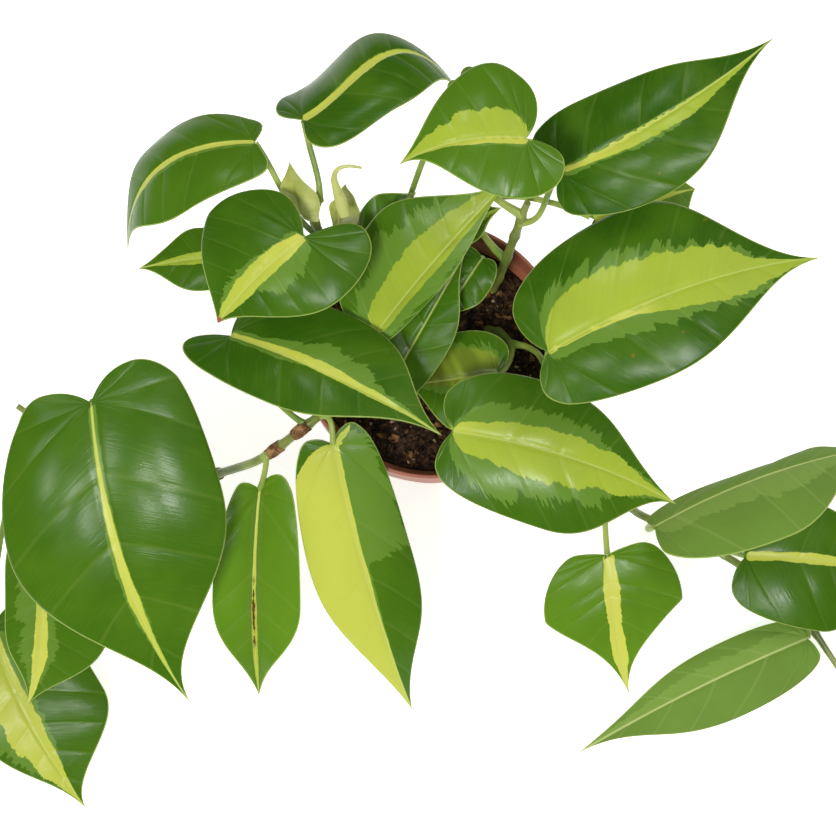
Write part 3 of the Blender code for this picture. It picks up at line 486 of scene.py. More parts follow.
def leaf_material(name, colours, underside):
    """Variegated leaf skin. Its bands have edges that run in jagged streaks along the veins."""
    mat, w, shader = new_material(name)
    t, q = w.value("vein_t"), w.value("vein_q")
    seed, tone = w.value("seed"), w.value("tone")
    rib, rim = w.value("rib_mm"), w.value("rim_mm")
    shift = w.math("MULTIPLY", seed, 17.0)

    def grain(along, across, offset, detail):
        """Noise stretched along the veins."""
        spot = w.vector(w.math("MULTIPLY", t, along), w.math("ADD", shift, offset),
                        w.math("MULTIPLY", q, across))
        return w.noise(spot, 1.0, detail)

    coarse, other = grain(11.0, 0.8, 0.0, 1.0), grain(13.0, 0.8, 5.0, 1.0)
    fine, hair = grain(58.0, 2.2, 9.0, 2.0), grain(150.0, 4.0, 13.0, 2.0)
    streak = grain(420.0, 3.0, 17.0, 1.0)
    cloud = w.noise(w.here(), 38.0, 3.0)

    def zone(reach, wave, teeth):
        """1 where the leaf lies inside a colour band."""
        wide = w.math("MINIMUM", reach, 0.7)
        jag = w.math("ADD", w.math("MULTIPLY", w.math("SUBTRACT", wave, 0.5), 0.75),
                     w.math("MULTIPLY", w.math("SUBTRACT", fine, 0.5), teeth))
        jag = w.math("ADD", jag, w.math("MULTIPLY", w.math("SUBTRACT", hair, 0.5), teeth * 0.5))
        far = w.math("ADD", reach, w.math("MULTIPLY", jag, wide))
        return w.band(w.math("SUBTRACT", far, q), -0.006, 0.010)

    lime_zone = zone(w.value("lime"), coarse, 0.35)
    mid_zone = zone(w.value("mid"), other, 0.75)
    dark = w.mix(w.band(tone, 0.0, 1.0, False), rgba(colours["dark"]), rgba(colours["fresh"]))
    dark = w.mix(w.math("MULTIPLY", w.band(cloud, 0.35, 0.7), 0.5), dark, rgba(colours["fresh"], 0.75))
    dark = w.mix(w.math("MULTIPLY", w.band(streak, 0.5, 0.75), 0.16), dark, rgba(colours["mid"]))
    middle = w.mix(w.math("MULTIPLY", w.band(streak, 0.35, 0.7), 0.4), rgba(colours["mid"]),
                   rgba(colours["fresh"]))
    bright = w.mix(w.math("MULTIPLY", w.band(streak, 0.45, 0.8), 0.35), rgba(colours["lime"]),
                   rgba(colours["lime_deep"]))
    bright = w.mix(w.math("MULTIPLY", w.band(cloud, 0.4, 0.7), 0.35), bright, rgba(colours["lime_deep"]))
    narrow = w.math("SUBTRACT", 1.0, w.band(w.value("lime"), 0.05, 0.28))
    yellow = w.math("MAXIMUM", w.math("MULTIPLY", narrow, 0.7), w.value("ripe"))
    bright = w.mix(yellow, bright, rgba(colours["stripe"]))
    streaky = w.math("MULTIPLY", w.band(other, 0.35, 0.65), 0.5)
    dull = w.math("MULTIPLY", w.value("muted"), w.math("ADD", 0.45, streaky))
    bright = w.mix(dull, bright, rgba(colours["lime_deep"], 0.55))
    colour = w.mix(mid_zone, dark, middle)
    colour = w.mix(lime_zone, colour, bright)
    veins = w.math("PINGPONG", w.math("MULTIPLY", t, 9.0), 0.5)
    main_vein = w.math("SUBTRACT", 1.0, w.band(veins, 0.0, 0.055))
    colour = w.mix(w.math("MULTIPLY", main_vein, 0.12 if underside else 0.05), colour, rgba(colours["rib"]))
    ribbed = w.math("SUBTRACT", 1.0, w.band(rib, 0.25, 0.75 if underside else 0.55))
    colour = w.mix(w.math("MULTIPLY", ribbed, 0.85 if underside else 0.6), colour, rgba(colours["rib"]))
    # Pale line along the margin: partly the leaf's own pale edge, partly a painted highlight where the edge
    # catches the light.
    pale_edge_and_highlight = w.math("SUBTRACT", 1.0, w.band(rim, 0.25, 0.7))
    colour = w.mix(w.math("MULTIPLY", pale_edge_and_highlight, 0.65), colour, rgba(colours["rim"]))
    burnt = w.math("MULTIPLY", w.band(t, 0.975, 0.985), w.value("tip_scar"))
    colour = w.mix(burnt, colour, rgba((0.30, 0.10, 0.05)))
    if not underside:
        dots = w.node("ShaderNodeTexVoronoi", {"Vector": w.here(), "Scale": 95.0})
        lot = w.node("ShaderNodeSeparateColor", {0: dots.outputs["Color"]}).outputs[0]
        chosen = w.band(lot, 0.84, 0.85)
        spot = w.math("SUBTRACT", 1.0, w.band(dots.outputs["Distance"], 0.06, 0.11))
        spot = w.math("MULTIPLY", w.math("MULTIPLY", spot, chosen), w.value("specks"))
        colour = w.mix(spot, colour, rgba(colours["speck"]))
        scar = w.math("MULTIPLY", w.band(t, 0.55, 0.6), w.math("SUBTRACT", 1.0, w.band(t, 0.8, 0.85)))
        drift = w.math("MULTIPLY", w.math("SUBTRACT", w.noise(w.here(), 240.0, 3.0), 0.5), 3.2)
        scar = w.math("MULTIPLY", scar, w.math("SUBTRACT", 1.0, w.band(w.math("ADD", rib, drift), 0.2, 0.8)))
        scar = w.math("MULTIPLY", scar, w.value("scar"))
        colour = w.mix(scar, colour, rgba(colours["scar"]))
    w.feed(shader.inputs["Base Color"], colour)
    rough = w.math("MULTIPLY_ADD", w.noise(w.here(), 90.0, 2.0), 0.14)
    rough.node.inputs[2].default_value = 0.5 if underside else 0.17
    w.feed(shader.inputs["Roughness"], rough)
    shader.inputs["Specular IOR Level"].default_value = 0.05 if underside else 0.16
    relief = w.math("ADD", w.math("MULTIPLY", w.band(veins, 0.0, 0.12), -0.5 if underside else 0.5),
                    w.math("MULTIPLY", streak, 0.28))
    relief = w.math("ADD", relief, w.math("MULTIPLY", w.noise(w.here(), 320.0, 2.0), 0.2))
    bump = w.node("ShaderNodeBump", {"Strength": 0.35, "Distance": 0.0006, "Height": relief})
    w.feed(shader.inputs["Normal"], bump.outputs[0])
    return mat


def stalk_material(name, base, fresh, bark):
    """Smooth green skin with a fine grain flecked with brown."""
    mat, w, shader = new_material(name)
    cloud = w.noise(w.here(), 60.0, 3.0)
    grain = w.noise(w.here(), 420.0, 2.0, 0.6)
    colour = w.mix(w.band(cloud, 0.35, 0.65), rgba(base), rgba(fresh))
    colour = w.mix(w.math("MULTIPLY", w.band(grain, 0.55, 0.75), 0.3), colour, rgba(bark))
    w.feed(shader.inputs["Base Color"], colour)
    shader.inputs["Roughness"].default_value = 0.42
    bump = w.node("ShaderNodeBump", {"Strength": 0.3, "Distance": 0.0004, "Height": grain})
    w.feed(shader.inputs["Normal"], bump.outputs[0])
    return mat


def pot_material(colour):
    """Moulded plastic: near-even colour, a fine grain and faint rings from the mould."""
    mat, w, shader = new_material("pot_plastic_look")
    cloud = w.noise(w.here(), 22.0, 3.0)
    grain = w.noise(w.here(), 900.0, 2.0)
    height = w.node("ShaderNodeSeparateXYZ", {0: w.here()}).outputs[2]
    rings = w.math("PINGPONG", w.math("MULTIPLY", height, 380.0), 0.5)
    tint = w.mix(w.band(cloud, 0.3, 0.7), rgba(colour, 0.88), rgba(colour, 1.1))
    tint = w.mix(w.math("MULTIPLY", w.band(grain, 0.6, 0.8), 0.25), tint, rgba((0.75, 0.45, 0.33)))
    w.feed(shader.inputs["Base Color"], tint)
    shader.inputs["Roughness"].default_value = 0.46
    relief = w.math("ADD", w.math("MULTIPLY", grain, 0.5), w.math("MULTIPLY", rings, 0.25))
    bump = w.node("ShaderNodeBump", {"Strength": 0.2, "Distance": 0.0005, "Height": relief})
    w.feed(shader.inputs["Normal"], bump.outputs[0])
    return mat


def grit_material(name, dark, light, scale, roughness=0.9):
    """Crumbly matter with light and dark grains."""
    mat, w, shader = new_material(name)
    coarse = w.noise(w.here(), scale, 5.0, 0.7)
    fine = w.noise(w.here(), scale * 6, 3.0, 0.6)
    colour = w.mix(w.band(coarse, 0.4, 0.68), rgba(dark), rgba(light))
    colour = w.mix(w.math("MULTIPLY", w.band(fine, 0.55, 0.8), 0.5), colour, rgba(light, 1.5))
    w.feed(shader.inputs["Base Color"], colour)
    shader.inputs["Roughness"].default_value = roughness
    shader.inputs["Specular IOR Level"].default_value = 0.1
    bump = w.node("ShaderNodeBump", {"Strength": 0.7, "Distance": 0.0012,
                                     "Height": w.math("ADD", coarse, w.math("MULTIPLY", fine, 0.5))})
    w.feed(shader.inputs["Normal"], bump.outputs[0])
    return mat


# Geometry Nodes trees


def input_socket(tree, name, kind, default):
    socket = tree.interface.new_socket(name=name, in_out="INPUT", socket_type=kind)
    if default is not None:
        socket.default_value = default
    return socket.identifier


def new_tree(name):
    tree = bpy.data.node_groups.new(name, "GeometryNodeTree")
    tree.interface.new_socket(name="Geometry", in_out="INPUT", socket_type="NodeSocketGeometry")
    tree.interface.new_socket(name="Geometry", in_out="OUTPUT", socket_type="NodeSocketGeometry")
    return tree, Wires(tree)


def sweep_tree():
    """Sweeps a round section along a curve; the curve's own radius swells it at joints."""
    tree, w = new_tree("stalk_sweep")
    keys = {"Radius": input_socket(tree, "Radius", "NodeSocketFloat", 1.3 * MM),
            "Sides": input_socket(tree, "Sides", "NodeSocketInt", 14),
            "Length": input_socket(tree, "Length", "NodeSocketFloat", 1.2 * MM),
            "Wobble": input_socket(tree, "Wobble", "NodeSocketFloat", 0.12 * MM),
            "Material": input_socket(tree, "Material", "NodeSocketMaterial", None)}
    enter = w.node("NodeGroupInput")
    even = w.node("GeometryNodeResampleCurve", {"Curve": enter.outputs["Geometry"],
                                                "Length": enter.outputs["Length"]}, mode="LENGTH")
    ring = w.node("GeometryNodeCurvePrimitiveCircle", {"Resolution": enter.outputs["Sides"],
                                                       "Radius": enter.outputs["Radius"]}, mode="RADIUS")
    body = w.node("GeometryNodeCurveToMesh", {"Curve": even.outputs[0], "Profile Curve": ring.outputs[0],
                                              "Scale": w.node("GeometryNodeInputRadius").outputs[0],
                                              "Fill Caps": True})
    bumps = w.node("ShaderNodeTexNoise", {"Scale": 260.0, "Detail": 2.0})
    centred = w.node("ShaderNodeVectorMath", {0: bumps.outputs["Color"], 1: (0.5, 0.5, 0.5)},
                     operation="SUBTRACT")
    push = w.node("ShaderNodeVectorMath", {0: centred.outputs[0]}, operation="SCALE")
    w.feed(push.inputs["Scale"], enter.outputs["Wobble"])
    moved = w.node("GeometryNodeSetPosition", {"Geometry": body.outputs[0], "Offset": push.outputs[0]})
    round_off = w.node("GeometryNodeSetShadeSmooth", {"Geometry": moved.outputs[0]})
    whole = w.node("GeometryNodeRealizeInstances", {"Geometry": round_off.outputs[0]})
    skin = w.node("GeometryNodeSetMaterial", {"Geometry": whole.outputs[0],
                                              "Material": enter.outputs["Material"]})
    leave = w.node("NodeGroupOutput")
    w.feed(leave.inputs[0], skin.outputs[0])
    return tree, keys


def crumb_tree():
    """Scatters lumps over a surface, each turned and stretched its own way."""
    tree, w = new_tree("crumb_scatter")
    keys = {"Density": input_socket(tree, "Density", "NodeSocketFloat", 100000.0),
            "Size": input_socket(tree, "Size", "NodeSocketFloat", 1.0 * MM),
            "Stretch": input_socket(tree, "Stretch", "NodeSocketFloat", 1.0),
            "Seed": input_socket(tree, "Seed", "NodeSocketInt", 1),
            "Material": input_socket(tree, "Material", "NodeSocketMaterial", None)}
    enter = w.node("NodeGroupInput")
    spots = w.node("GeometryNodeDistributePointsOnFaces", {
        "Mesh": enter.outputs["Geometry"], "Density": enter.outputs["Density"],
        "Seed": enter.outputs["Seed"]})
    lump = w.node("GeometryNodeMeshIcoSphere", {"Radius": enter.outputs["Size"], "Subdivisions": 2})
    uneven = w.node("ShaderNodeTexNoise", {"Scale": 700.0, "Detail": 1.0})
    centred = w.node("ShaderNodeVectorMath", {0: uneven.outputs["Color"], 1: (0.5, 0.5, 0.5)},
                     operation="SUBTRACT")
    push = w.node("ShaderNodeVectorMath", {0: centred.outputs[0]}, operation="SCALE")
    w.feed(push.inputs["Scale"], enter.outputs["Size"])
    rough = w.node("GeometryNodeSetPosition", {"Geometry": lump.outputs[0], "Offset": push.outputs[0]})
    turn = w.node("FunctionNodeRandomValue", {0: (0, 0, 0), 1: (6.28, 6.28, 6.28)},
                  data_type="FLOAT_VECTOR")
    w.feed(turn.inputs["Seed"], enter.outputs["Seed"])
    scale = w.node("FunctionNodeRandomValue", {2: 0.45, 3: 1.5}, data_type="FLOAT")
    w.feed(scale.inputs["Seed"], enter.outputs["Seed"])
    longer = w.math("MULTIPLY", scale.outputs[1], enter.outputs["Stretch"])
    size = w.vector(longer, scale.outputs[1], w.math("MULTIPLY", scale.outputs[1], 0.6))
    spread = w.node("GeometryNodeInstanceOnPoints", {
        "Points": spots.outputs["Points"], "Instance": rough.outputs[0],
        "Rotation": turn.outputs[0], "Scale": size})
    whole = w.node("GeometryNodeRealizeInstances", {"Geometry": spread.outputs[0]})
    skin = w.node("GeometryNodeSetMaterial", {"Geometry": whole.outputs[0],
                                              "Material": enter.outputs["Material"]})
    leave = w.node("NodeGroupOutput")
    w.feed(leave.inputs[0], skin.outputs[0])
    return tree, keys


def grown(name, source, tree, keys, values, mat):
    """Plain mesh object from a source object run through a Geometry Nodes tree."""
    step = source.modifiers.new(name, "NODES")
    step.node_group = tree
    for key, value in values.items():
        step[keys[key]] = value
    step[keys["Material"]] = mat
    graph = bpy.context.evaluated_depsgraph_get()
    data = bpy.data.meshes.new_from_object(source.evaluated_get(graph))
    data.name = name
    if not len(data.polygons):
        raise RuntimeError(name + " came out empty")
    if not data.materials:
        data.materials.append(mat)
    bpy.data.objects.remove(source, do_unlink=True)
    return link(name, data)


def link(name, data):
    obj = bpy.data.objects.new(name, data)
    bpy.context.scene.collection.objects.link(obj)
    return obj


def curve_source(name, points, radii):
    """Open curve through points in millimetres with a relative radius at each."""
    data = bpy.data.curves.new(name, "CURVE")
    data.dimensions = "3D"
    spline = data.splines.new("POLY")
    spline.points.add(len(points) - 1)
    for point, target, radius in zip(spline.points, points, radii):
        point.co = (*(np.asarray(target) * MM), 1.0)
        point.radius = radius
    return link(name, data)


def declare(obj, nodes):
    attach(obj, "root")
    if nodes:
        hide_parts(*nodes)


def check_box(obj, node):
    """Stops if a fine piece has left the box of the CAD node it stands for."""
    low, high = (np.array(v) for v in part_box(node))
    spots = np.array([v.co for v in obj.data.vertices])
    if (spots.min(0) < low - BOX_SLACK).any() or (spots.max(0) > high + BOX_SLACK).any():
        raise RuntimeError(f"{obj.name} leaves the box of {node}")


# Leaf blades

BLADE_ROWS = 96
BLADE_COLUMNS = 26
BLADE_THICKNESS = 0.5
STALK_STEPS = 40
MAIN_VEINS = 9.0
RIB_WIDTH = 2.0
WELD = 1e-6
PUFF, WAVE, WAVES = 2.4, 1.3, 2.6
GROOVE, GROOVE_WIDTH = 0.45, 1.1
NO_BAND = ([(0, 0.0), (1, 0.0)], [(0, 0.0), (1, 0.0)])


def profile(points, t):
    x, y = zip(*points)
    return np.interp(t, x, y)


def blade_layer(leaf, look, side, number, offset):
    """Grid of one half of a blade and the values that colour it."""
    length = leaf_axes(leaf)[0]
    t = np.linspace(0, 1, BLADE_ROWS + 1) ** 0.92
    edge = margin(leaf, side, length, t)
    x = (edge[:, 0] + margin(leaf, 1 - side, length, t)[:, 0]) / (2 * length)
    vein = length * np.clip(x - 0.30 * np.clip(1 - x, 0, 2) ** 0.8, 0, 1)
    q = np.linspace(0, 1, BLADE_COLUMNS + 1)[None, :] ** 0.9
    along = vein[:, None] + (edge[:, 0] - vein)[:, None] * q ** 1.25
    out = edge[:, 1][:, None] * q
    tt = t[:, None] + 0 * q
    reach = np.minimum(edge[:, 1] / leaf["width"][side], 1)[:, None]
    puff = PUFF * (np.abs(np.sin(math.pi * MAIN_VEINS * tt)) - 0.6) * q * (1 - q) * reach
    phase = 2.4 * number + 1.3 * side
    wave = WAVE * q ** 2 * np.sin(2 * math.pi * WAVES * tt + phase) * reach
    groove = -GROOVE * np.exp(-(out / GROOVE_WIDTH) ** 2) * np.clip(4 * (1 - tt), 0, 1)
    lift = puff + wave + groove + offset
    points = blade_point(leaf, side, along, out, lift)
    bands = look.get("lime", NO_BAND), look.get("mid", NO_BAND)
    gap = np.linalg.norm(points - points[:, -1:, :], axis=2)
    columns = {
        "vein_t": tt, "vein_q": q + 0 * tt, "lime": profile(bands[0][side], t)[:, None] + 0 * q,
        "mid": profile(bands[1][side], t)[:, None] + 0 * q, "rib_mm": out, "rim_mm": gap,
    }
    return points, columns


def blade_mesh(name, leaf, look, number, mats):
    """Closed blade: an upper and a lower skin joined round the margin."""
    points, faces, slots = [], [], []
    values = {}

    def skin(side, layer):
        """Adds one skin of one half and returns the number of its first vertex."""
        first = len(points)
        offset = BLADE_THICKNESS * (0.5 - layer)
        grid, columns = blade_layer(leaf, look, side, number, offset)
        points.extend(grid.reshape(-1, 3) * MM)
        for key, column in columns.items():
            values.setdefault(key, []).extend(column.ravel())
        across = BLADE_COLUMNS + 1
        for i in range(BLADE_ROWS):
            for j in range(BLADE_COLUMNS):
                a = first + i * across + j
                ring = (a, a + 1, a + across + 1, a + across)
                faces.append(ring[::-1] if side == layer else ring)
                slots.append(layer)
        return first

    for side in (0, 1):
        upper, lower = skin(side, 0), skin(side, 1)
        for i in range(BLADE_ROWS):
            a = i * (BLADE_COLUMNS + 1) + BLADE_COLUMNS
            b = a + BLADE_COLUMNS + 1
            ring = (upper + a, lower + a, lower + b, upper + b)
            faces.append(ring[::-1] if side == 0 else ring)
            slots.append(0)
    data = bpy.data.meshes.new(name)
    data.from_pydata([tuple(p) for p in points], [], faces)
    data.polygons.foreach_set("material_index", slots)
    values["seed"] = [number * 0.37] * len(points)
    for key in ("tone", "ripe", "specks", "scar", "tip_scar", "muted"):
        values[key] = [look.get(key, 0.0)] * len(points)
    for key, column in values.items():
        layer = data.attributes.new(key, "FLOAT", "POINT")
        layer.data.foreach_set("value", np.array(column, np.float32))
    weld = bmesh.new()
    weld.from_mesh(data)
    bmesh.ops.remove_doubles(weld, verts=weld.verts, dist=WELD)
    open_edges = sum(e.is_boundary for e in weld.edges)
    weld.to_mesh(data)
    weld.free()
    if open_edges:
        raise RuntimeError(f"{name} has {open_edges} open edges")
    for mat in mats:
        data.materials.append(mat)
    data.shade_smooth()
    return data


def build_leaf(node, index, mats):
    leaf, look = LEAVES[node], LOOKS[node]
    upper, lower = (mats["under"], mats["upper"]) if look.get("soft") else (mats["upper"], mats["under"])
    if look.get("young"):
        upper = lower = mats["young"]
    blade = link(node, blade_mesh(node, leaf, look, index, (upper, lower)))
    declare(blade, [node])
    check_box(blade, node)
    stem = leaf.get("stem")
    if stem is None:
        return
    points = stalk_points(leaf, stem)
    points[-1] = points[-1] * 0.3 + points[-2] * 0.7
    s = np.linspace(0, 1, len(points))
    radii = 1.02 + 0.75 * np.exp(-s / 0.07) + 0.12 * np.exp(-(1 - s) / 0.05)
    source = curve_source(node + "_stalk", points, radii)
    tree, keys = mats["sweep"]
    stalk = grown(node + "_stalk", source, tree, keys, {"Radius": PETIOLE_RADIUS * MM, "Sides": 14},
                  mats["stalk"])
    declare(stalk, [node])


# Stems: NODE_SWELL is how much a node thickens a stem, NODE_REACH how far along it in millimetres.

NODE_SWELL, NODE_REACH = 0.26, 2.6
SHEATH_SPAN = (-1.0, 7.5)


def build_stem(name, mats):
    path = smooth_path(STEMS[name], 14)
    run = np.concatenate([[0], np.cumsum(np.linalg.norm(np.diff(path, axis=0), axis=1))])
    radii = np.full(len(path), 0.9)
    nodes, sheathed = NODES_ALONG[name]
    for node in nodes:
        radii += NODE_SWELL * np.exp(-((run - node * run[-1]) / NODE_REACH) ** 2)
    radii *= np.interp(run / run[-1], (0, 0.85, 1), (1, 0.92, 0.7))
    source = curve_source(name, path, radii)
    tree, keys = mats["sweep"]
    stem = grown(name, source, tree, keys, {"Radius": STEM_RADIUS * MM, "Sides": 20,
                                            "Wobble": 0.3 * MM}, mats["stem"])
    declare(stem, [name])
    check_box(stem, name)
    for number, node in enumerate(nodes[:sheathed]):
        papery_sheath(f"{name}_sheath_{number + 1}", path, run, node * run[-1], mats)


def papery_sheath(name, path, run, middle, mats):
    """Dry brown scale wrapped round a stem above one of its nodes."""
    spots = middle + np.linspace(*SHEATH_SPAN, 12)
    spots = spots[(spots > 0) & (spots < run[-1])]
    centre = np.column_stack([np.interp(spots, run, path[:, k]) for k in range(3)])
    share = np.linspace(0, 1, len(spots))
    radii = 1.24 + 0.1 * np.sin(share * math.pi) - 0.12 * share
    source = curve_source(name, centre, radii)
    tree, keys = mats["sweep"]
    piece = grown(name, source, tree, keys, {"Radius": STEM_RADIUS * MM, "Sides": 18, "Length": 0.6 * MM,
                                             "Wobble": 1.1 * MM}, mats["bark"])
    declare(piece, [])


# Pot and soil


def wall_radius(z):
    """Outside radius of the pot's tapering body at a height."""
    top = POT_RIM_RADIUS - COLLAR_STEP
    return POT_BASE_RADIUS + (top - POT_BASE_RADIUS) * z / POT_HEIGHT


def inner_radius(z):
    return wall_radius(z) - POT_WALL


def revolve(name, profile_points, segments):
    """Closed solid of revolution from a loop of (radius, height) points in millimetres."""
    data = bpy.data.meshes.new(name)
    shape = bmesh.new()
    rings = []
    for radius, height in profile_points:
        rings.append([shape.verts.new((radius * MM * math.cos(a), radius * MM * math.sin(a), height * MM))
                      for a in np.linspace(0, 2 * math.pi, segments, endpoint=False)])
    for low, high in zip(rings, rings[1:] + rings[:1]):
        for i in range(segments):
            k = (i + 1) % segments
            shape.faces.new((low[i], low[k], high[k], high[i]))
    bmesh.ops.recalc_face_normals(shape, faces=shape.faces)
    shape.to_mesh(data)
    shape.free()
    return data


def build_pot(colour):
    """Open tapered pot with a rolled collar, a floor and a ring of drain holes."""
    step_z = POT_HEIGHT - COLLAR_HEIGHT
    rim, wall = POT_RIM_RADIUS, POT_WALL
    outline = [(0.0, 0.0), (POT_BASE_RADIUS - 1.0, 0.0), (POT_BASE_RADIUS, 0.8)]
    outline += [(wall_radius(z), z) for z in np.linspace(4, step_z - 0.8, 10)]
    outline += [(wall_radius(step_z) + 0.4, step_z - 0.2), (rim - 1.2, step_z), (rim - 0.6, step_z + 0.5)]
    outline += [(rim - 0.6 + 0.5 * s, step_z + 0.5 + (COLLAR_HEIGHT - 2.6) * s) for s in (0.3, 0.6, 1)]
    outline += [(rim, POT_HEIGHT - 1.4), (rim - 0.2, POT_HEIGHT - 0.5), (rim - 0.8, POT_HEIGHT)]
    outline += [(rim - wall, POT_HEIGHT - 0.3), (rim - wall - 0.2, POT_HEIGHT - 1.2)]
    outline += [(rim - wall - 0.6, step_z + wall + 0.4), (rim - wall - 0.9, step_z + wall)]
    outline += [(inner_radius(step_z), step_z + wall - 0.8)]
    outline += [(inner_radius(z), z) for z in np.linspace(step_z - 4, POT_FLOOR + 1.5, 10)]
    outline += [(inner_radius(POT_FLOOR) - 1.2, POT_FLOOR), (0.0, POT_FLOOR)]
    body = link("pot_turned", revolve("pot_turned", outline, POT_SEGMENTS))
    drills = bmesh.new()
    for turn in np.linspace(0, 2 * math.pi, DRAIN_HOLES, endpoint=False) + math.pi / DRAIN_HOLES:
        made = bmesh.ops.create_cone(drills, cap_ends=True, segments=24, radius1=DRAIN_HOLE_RADIUS * MM,
                                     radius2=DRAIN_HOLE_RADIUS * MM, depth=4 * POT_FLOOR * MM)
        spot = Vector((math.cos(turn), math.sin(turn), 0)) * DRAIN_RING_RADIUS * MM
        bmesh.ops.translate(drills, verts=made["verts"], vec=spot)
    cutter = bpy.data.meshes.new("drills")
    drills.to_mesh(cutter)
    drills.free()
    cutter = link("drills", cutter)
    cut = body.modifiers.new("drain", "BOOLEAN")
    cut.operation, cut.solver, cut.object = "DIFFERENCE", "EXACT", cutter
    data = bpy.data.meshes.new_from_object(body.evaluated_get(bpy.context.evaluated_depsgraph_get()))
    data.name = "pot"
    data.materials.clear()
    data.materials.append(pot_material(colour))
    data.shade_smooth()
    for old in (body, cutter):
        bpy.data.objects.remove(old, do_unlink=True)
    pot = link("pot", data)
    declare(pot, ["pot"])


def soil_height(x, y):
    """Uneven top of the soil in millimetres: it sinks a little toward the wall."""
    p = Vector((x, y, 0.0))
    lumps = 1.6 * noise.noise(p * 0.07) + 0.9 * noise.noise(p * 0.21) + 0.5 * noise.noise(p * 0.6)
    return POT_HEIGHT - SOIL_DROP + lumps - 1.2 * (math.hypot(x, y) / POT_RIM_RADIUS) ** 4


def build_soil(crumbs, seed, crumb_size):
    """Root ball with a crumbly top and loose bits of bark, fibre and grit on it."""
    top_z = POT_HEIGHT - COLLAR_HEIGHT
    edge = inner_radius(top_z) - SOIL_CLEARANCE
    foot = inner_radius(POT_FLOOR) - SOIL_CLEARANCE
    shape = bmesh.new()
    rings = []
    for share in np.linspace(1, 0.02, SOIL_RINGS):
        r = edge * share
        rings.append([shape.verts.new((r * math.cos(a) * MM, r * math.sin(a) * MM,
                                       soil_height(r * math.cos(a), r * math.sin(a)) * MM))
                      for a in np.linspace(0, 2 * math.pi, POT_SEGMENTS, endpoint=False)])
    low = [shape.verts.new((foot * math.cos(a) * MM, foot * math.sin(a) * MM, (POT_FLOOR + 0.3) * MM))
           for a in np.linspace(0, 2 * math.pi, POT_SEGMENTS, endpoint=False)]
    rings.insert(0, low)
    for one, two in zip(rings, rings[1:]):
        for i in range(POT_SEGMENTS):
            k = (i + 1) % POT_SEGMENTS
            shape.faces.new((one[i], one[k], two[k], two[i]))
    shape.faces.new(rings[-1])
    shape.faces.new(low[::-1])
    data = bpy.data.meshes.new("soil")
    shape.to_mesh(data)
    shape.free()
    soil = grit_material("soil_look", (0.012, 0.007, 0.005), (0.085, 0.045, 0.024), 260.0)
    data.materials.append(soil)
    data.shade_smooth()
    declare(link("soil", data), ["soil"])
    bark = grit_material("bark_look", (0.10, 0.045, 0.02), (0.36, 0.17, 0.07), 300.0)
    grit = grit_material("grit_look", (0.20, 0.11, 0.07), (0.62, 0.45, 0.32), 350.0)
    fibre = grit_material("fibre_look", (0.05, 0.025, 0.012), (0.20, 0.10, 0.05), 300.0)
    tree, keys = crumbs
    kinds = (("soil_crumbs", soil, 150000.0, 1.25, 1.0), ("soil_fibre", fibre, 45000.0, 0.8, 3.2),
             ("soil_bark", bark, 14000.0, 1.5, 1.7), ("soil_grit", grit, 9000.0, 0.9, 1.0))
    for number, (name, mat, density, size, stretch) in enumerate(kinds):
        source = link(name, soil_patch(edge - 2.5))
        piece = grown(name, source, tree, keys,
                      {"Density": density, "Size": size * crumb_size * MM, "Stretch": stretch,
                       "Seed": seed + number}, mat)
        piece.data.shade_smooth()
        declare(piece, [])


def soil_patch(radius):
    """Open disc over the soil that the loose bits are scattered on."""
    shape = bmesh.new()
    bmesh.ops.create_circle(shape, cap_ends=True, radius=radius * MM, segments=48)
    bmesh.ops.triangulate(shape, faces=shape.faces)
    bmesh.ops.subdivide_edges(shape, edges=shape.edges, cuts=9, use_grid_fill=True)
    for v in shape.verts:
        v.co.z = (soil_height(v.co.x / MM, v.co.y / MM) + 0.2) * MM
    data = bpy.data.meshes.new("soil_patch")
    shape.to_mesh(data)
    shape.free()
    return data


# Young growth


def build_rolled_leaf(mats):
    """Young leaf still rolled up, swept as one tapering tube."""
    rows = smooth_path(ROLLED_LEAF, 10)
    source = curve_source("leaf_new_rolled", rows[:, :3], rows[:, 3])
    tree, keys = mats["sweep"]
    roll = grown("leaf_new_rolled", source, tree, keys,
                 {"Radius": 1.0 * MM, "Sides": 24, "Length": 0.7 * MM, "Wobble": 0.3 * MM}, mats["young"])
    declare(roll, ["leaf_new_rolled"])
    check_box(roll, "leaf_new_rolled")


# Materials shared by like pieces


def shared_materials(colours):
    lime, deep = colours["lime"], colours["dark"]
    table = {
        "dark": deep, "fresh": colours["fresh"], "mid": colours["mid"], "lime": lime,
        "lime_deep": tuple(0.62 * a + 0.38 * b for a, b in zip(lime, colours["mid"])),
        # rim is the pale margin colour: partly the leaf's own edge, partly a painted highlight along it.
        "stripe": colours["stripe"], "rib": (0.50, 0.56, 0.14), "rim": (0.42, 0.52, 0.12),
        "speck": (0.55, 0.20, 0.02), "scar": (0.13, 0.055, 0.02),
    }
    under = dict(table, dark=(0.10, 0.20, 0.030), fresh=(0.17, 0.29, 0.045), mid=(0.20, 0.32, 0.06),
                 lime=(0.40, 0.48, 0.12), lime_deep=(0.33, 0.43, 0.10), stripe=(0.48, 0.54, 0.18),
                 rib=(0.46, 0.54, 0.20))
    return {
        "upper": leaf_material("leaf_upper", table, False),
        "under": leaf_material("leaf_under", under, True),
        "stalk": stalk_material("leaf_stalk", (0.16, 0.26, 0.035), (0.34, 0.42, 0.08), (0.22, 0.20, 0.06)),
        "stem": stalk_material("stem_skin", (0.13, 0.18, 0.03), (0.24, 0.28, 0.06), (0.20, 0.12, 0.05)),
        "young": stalk_material("young_skin", (0.38, 0.42, 0.085), (0.52, 0.55, 0.17), (0.28, 0.36, 0.06)),
        "bark": grit_material("papery_sheath", (0.10, 0.045, 0.02), (0.40, 0.22, 0.09), 240.0, 0.75),
        "sweep": sweep_tree(),
    }


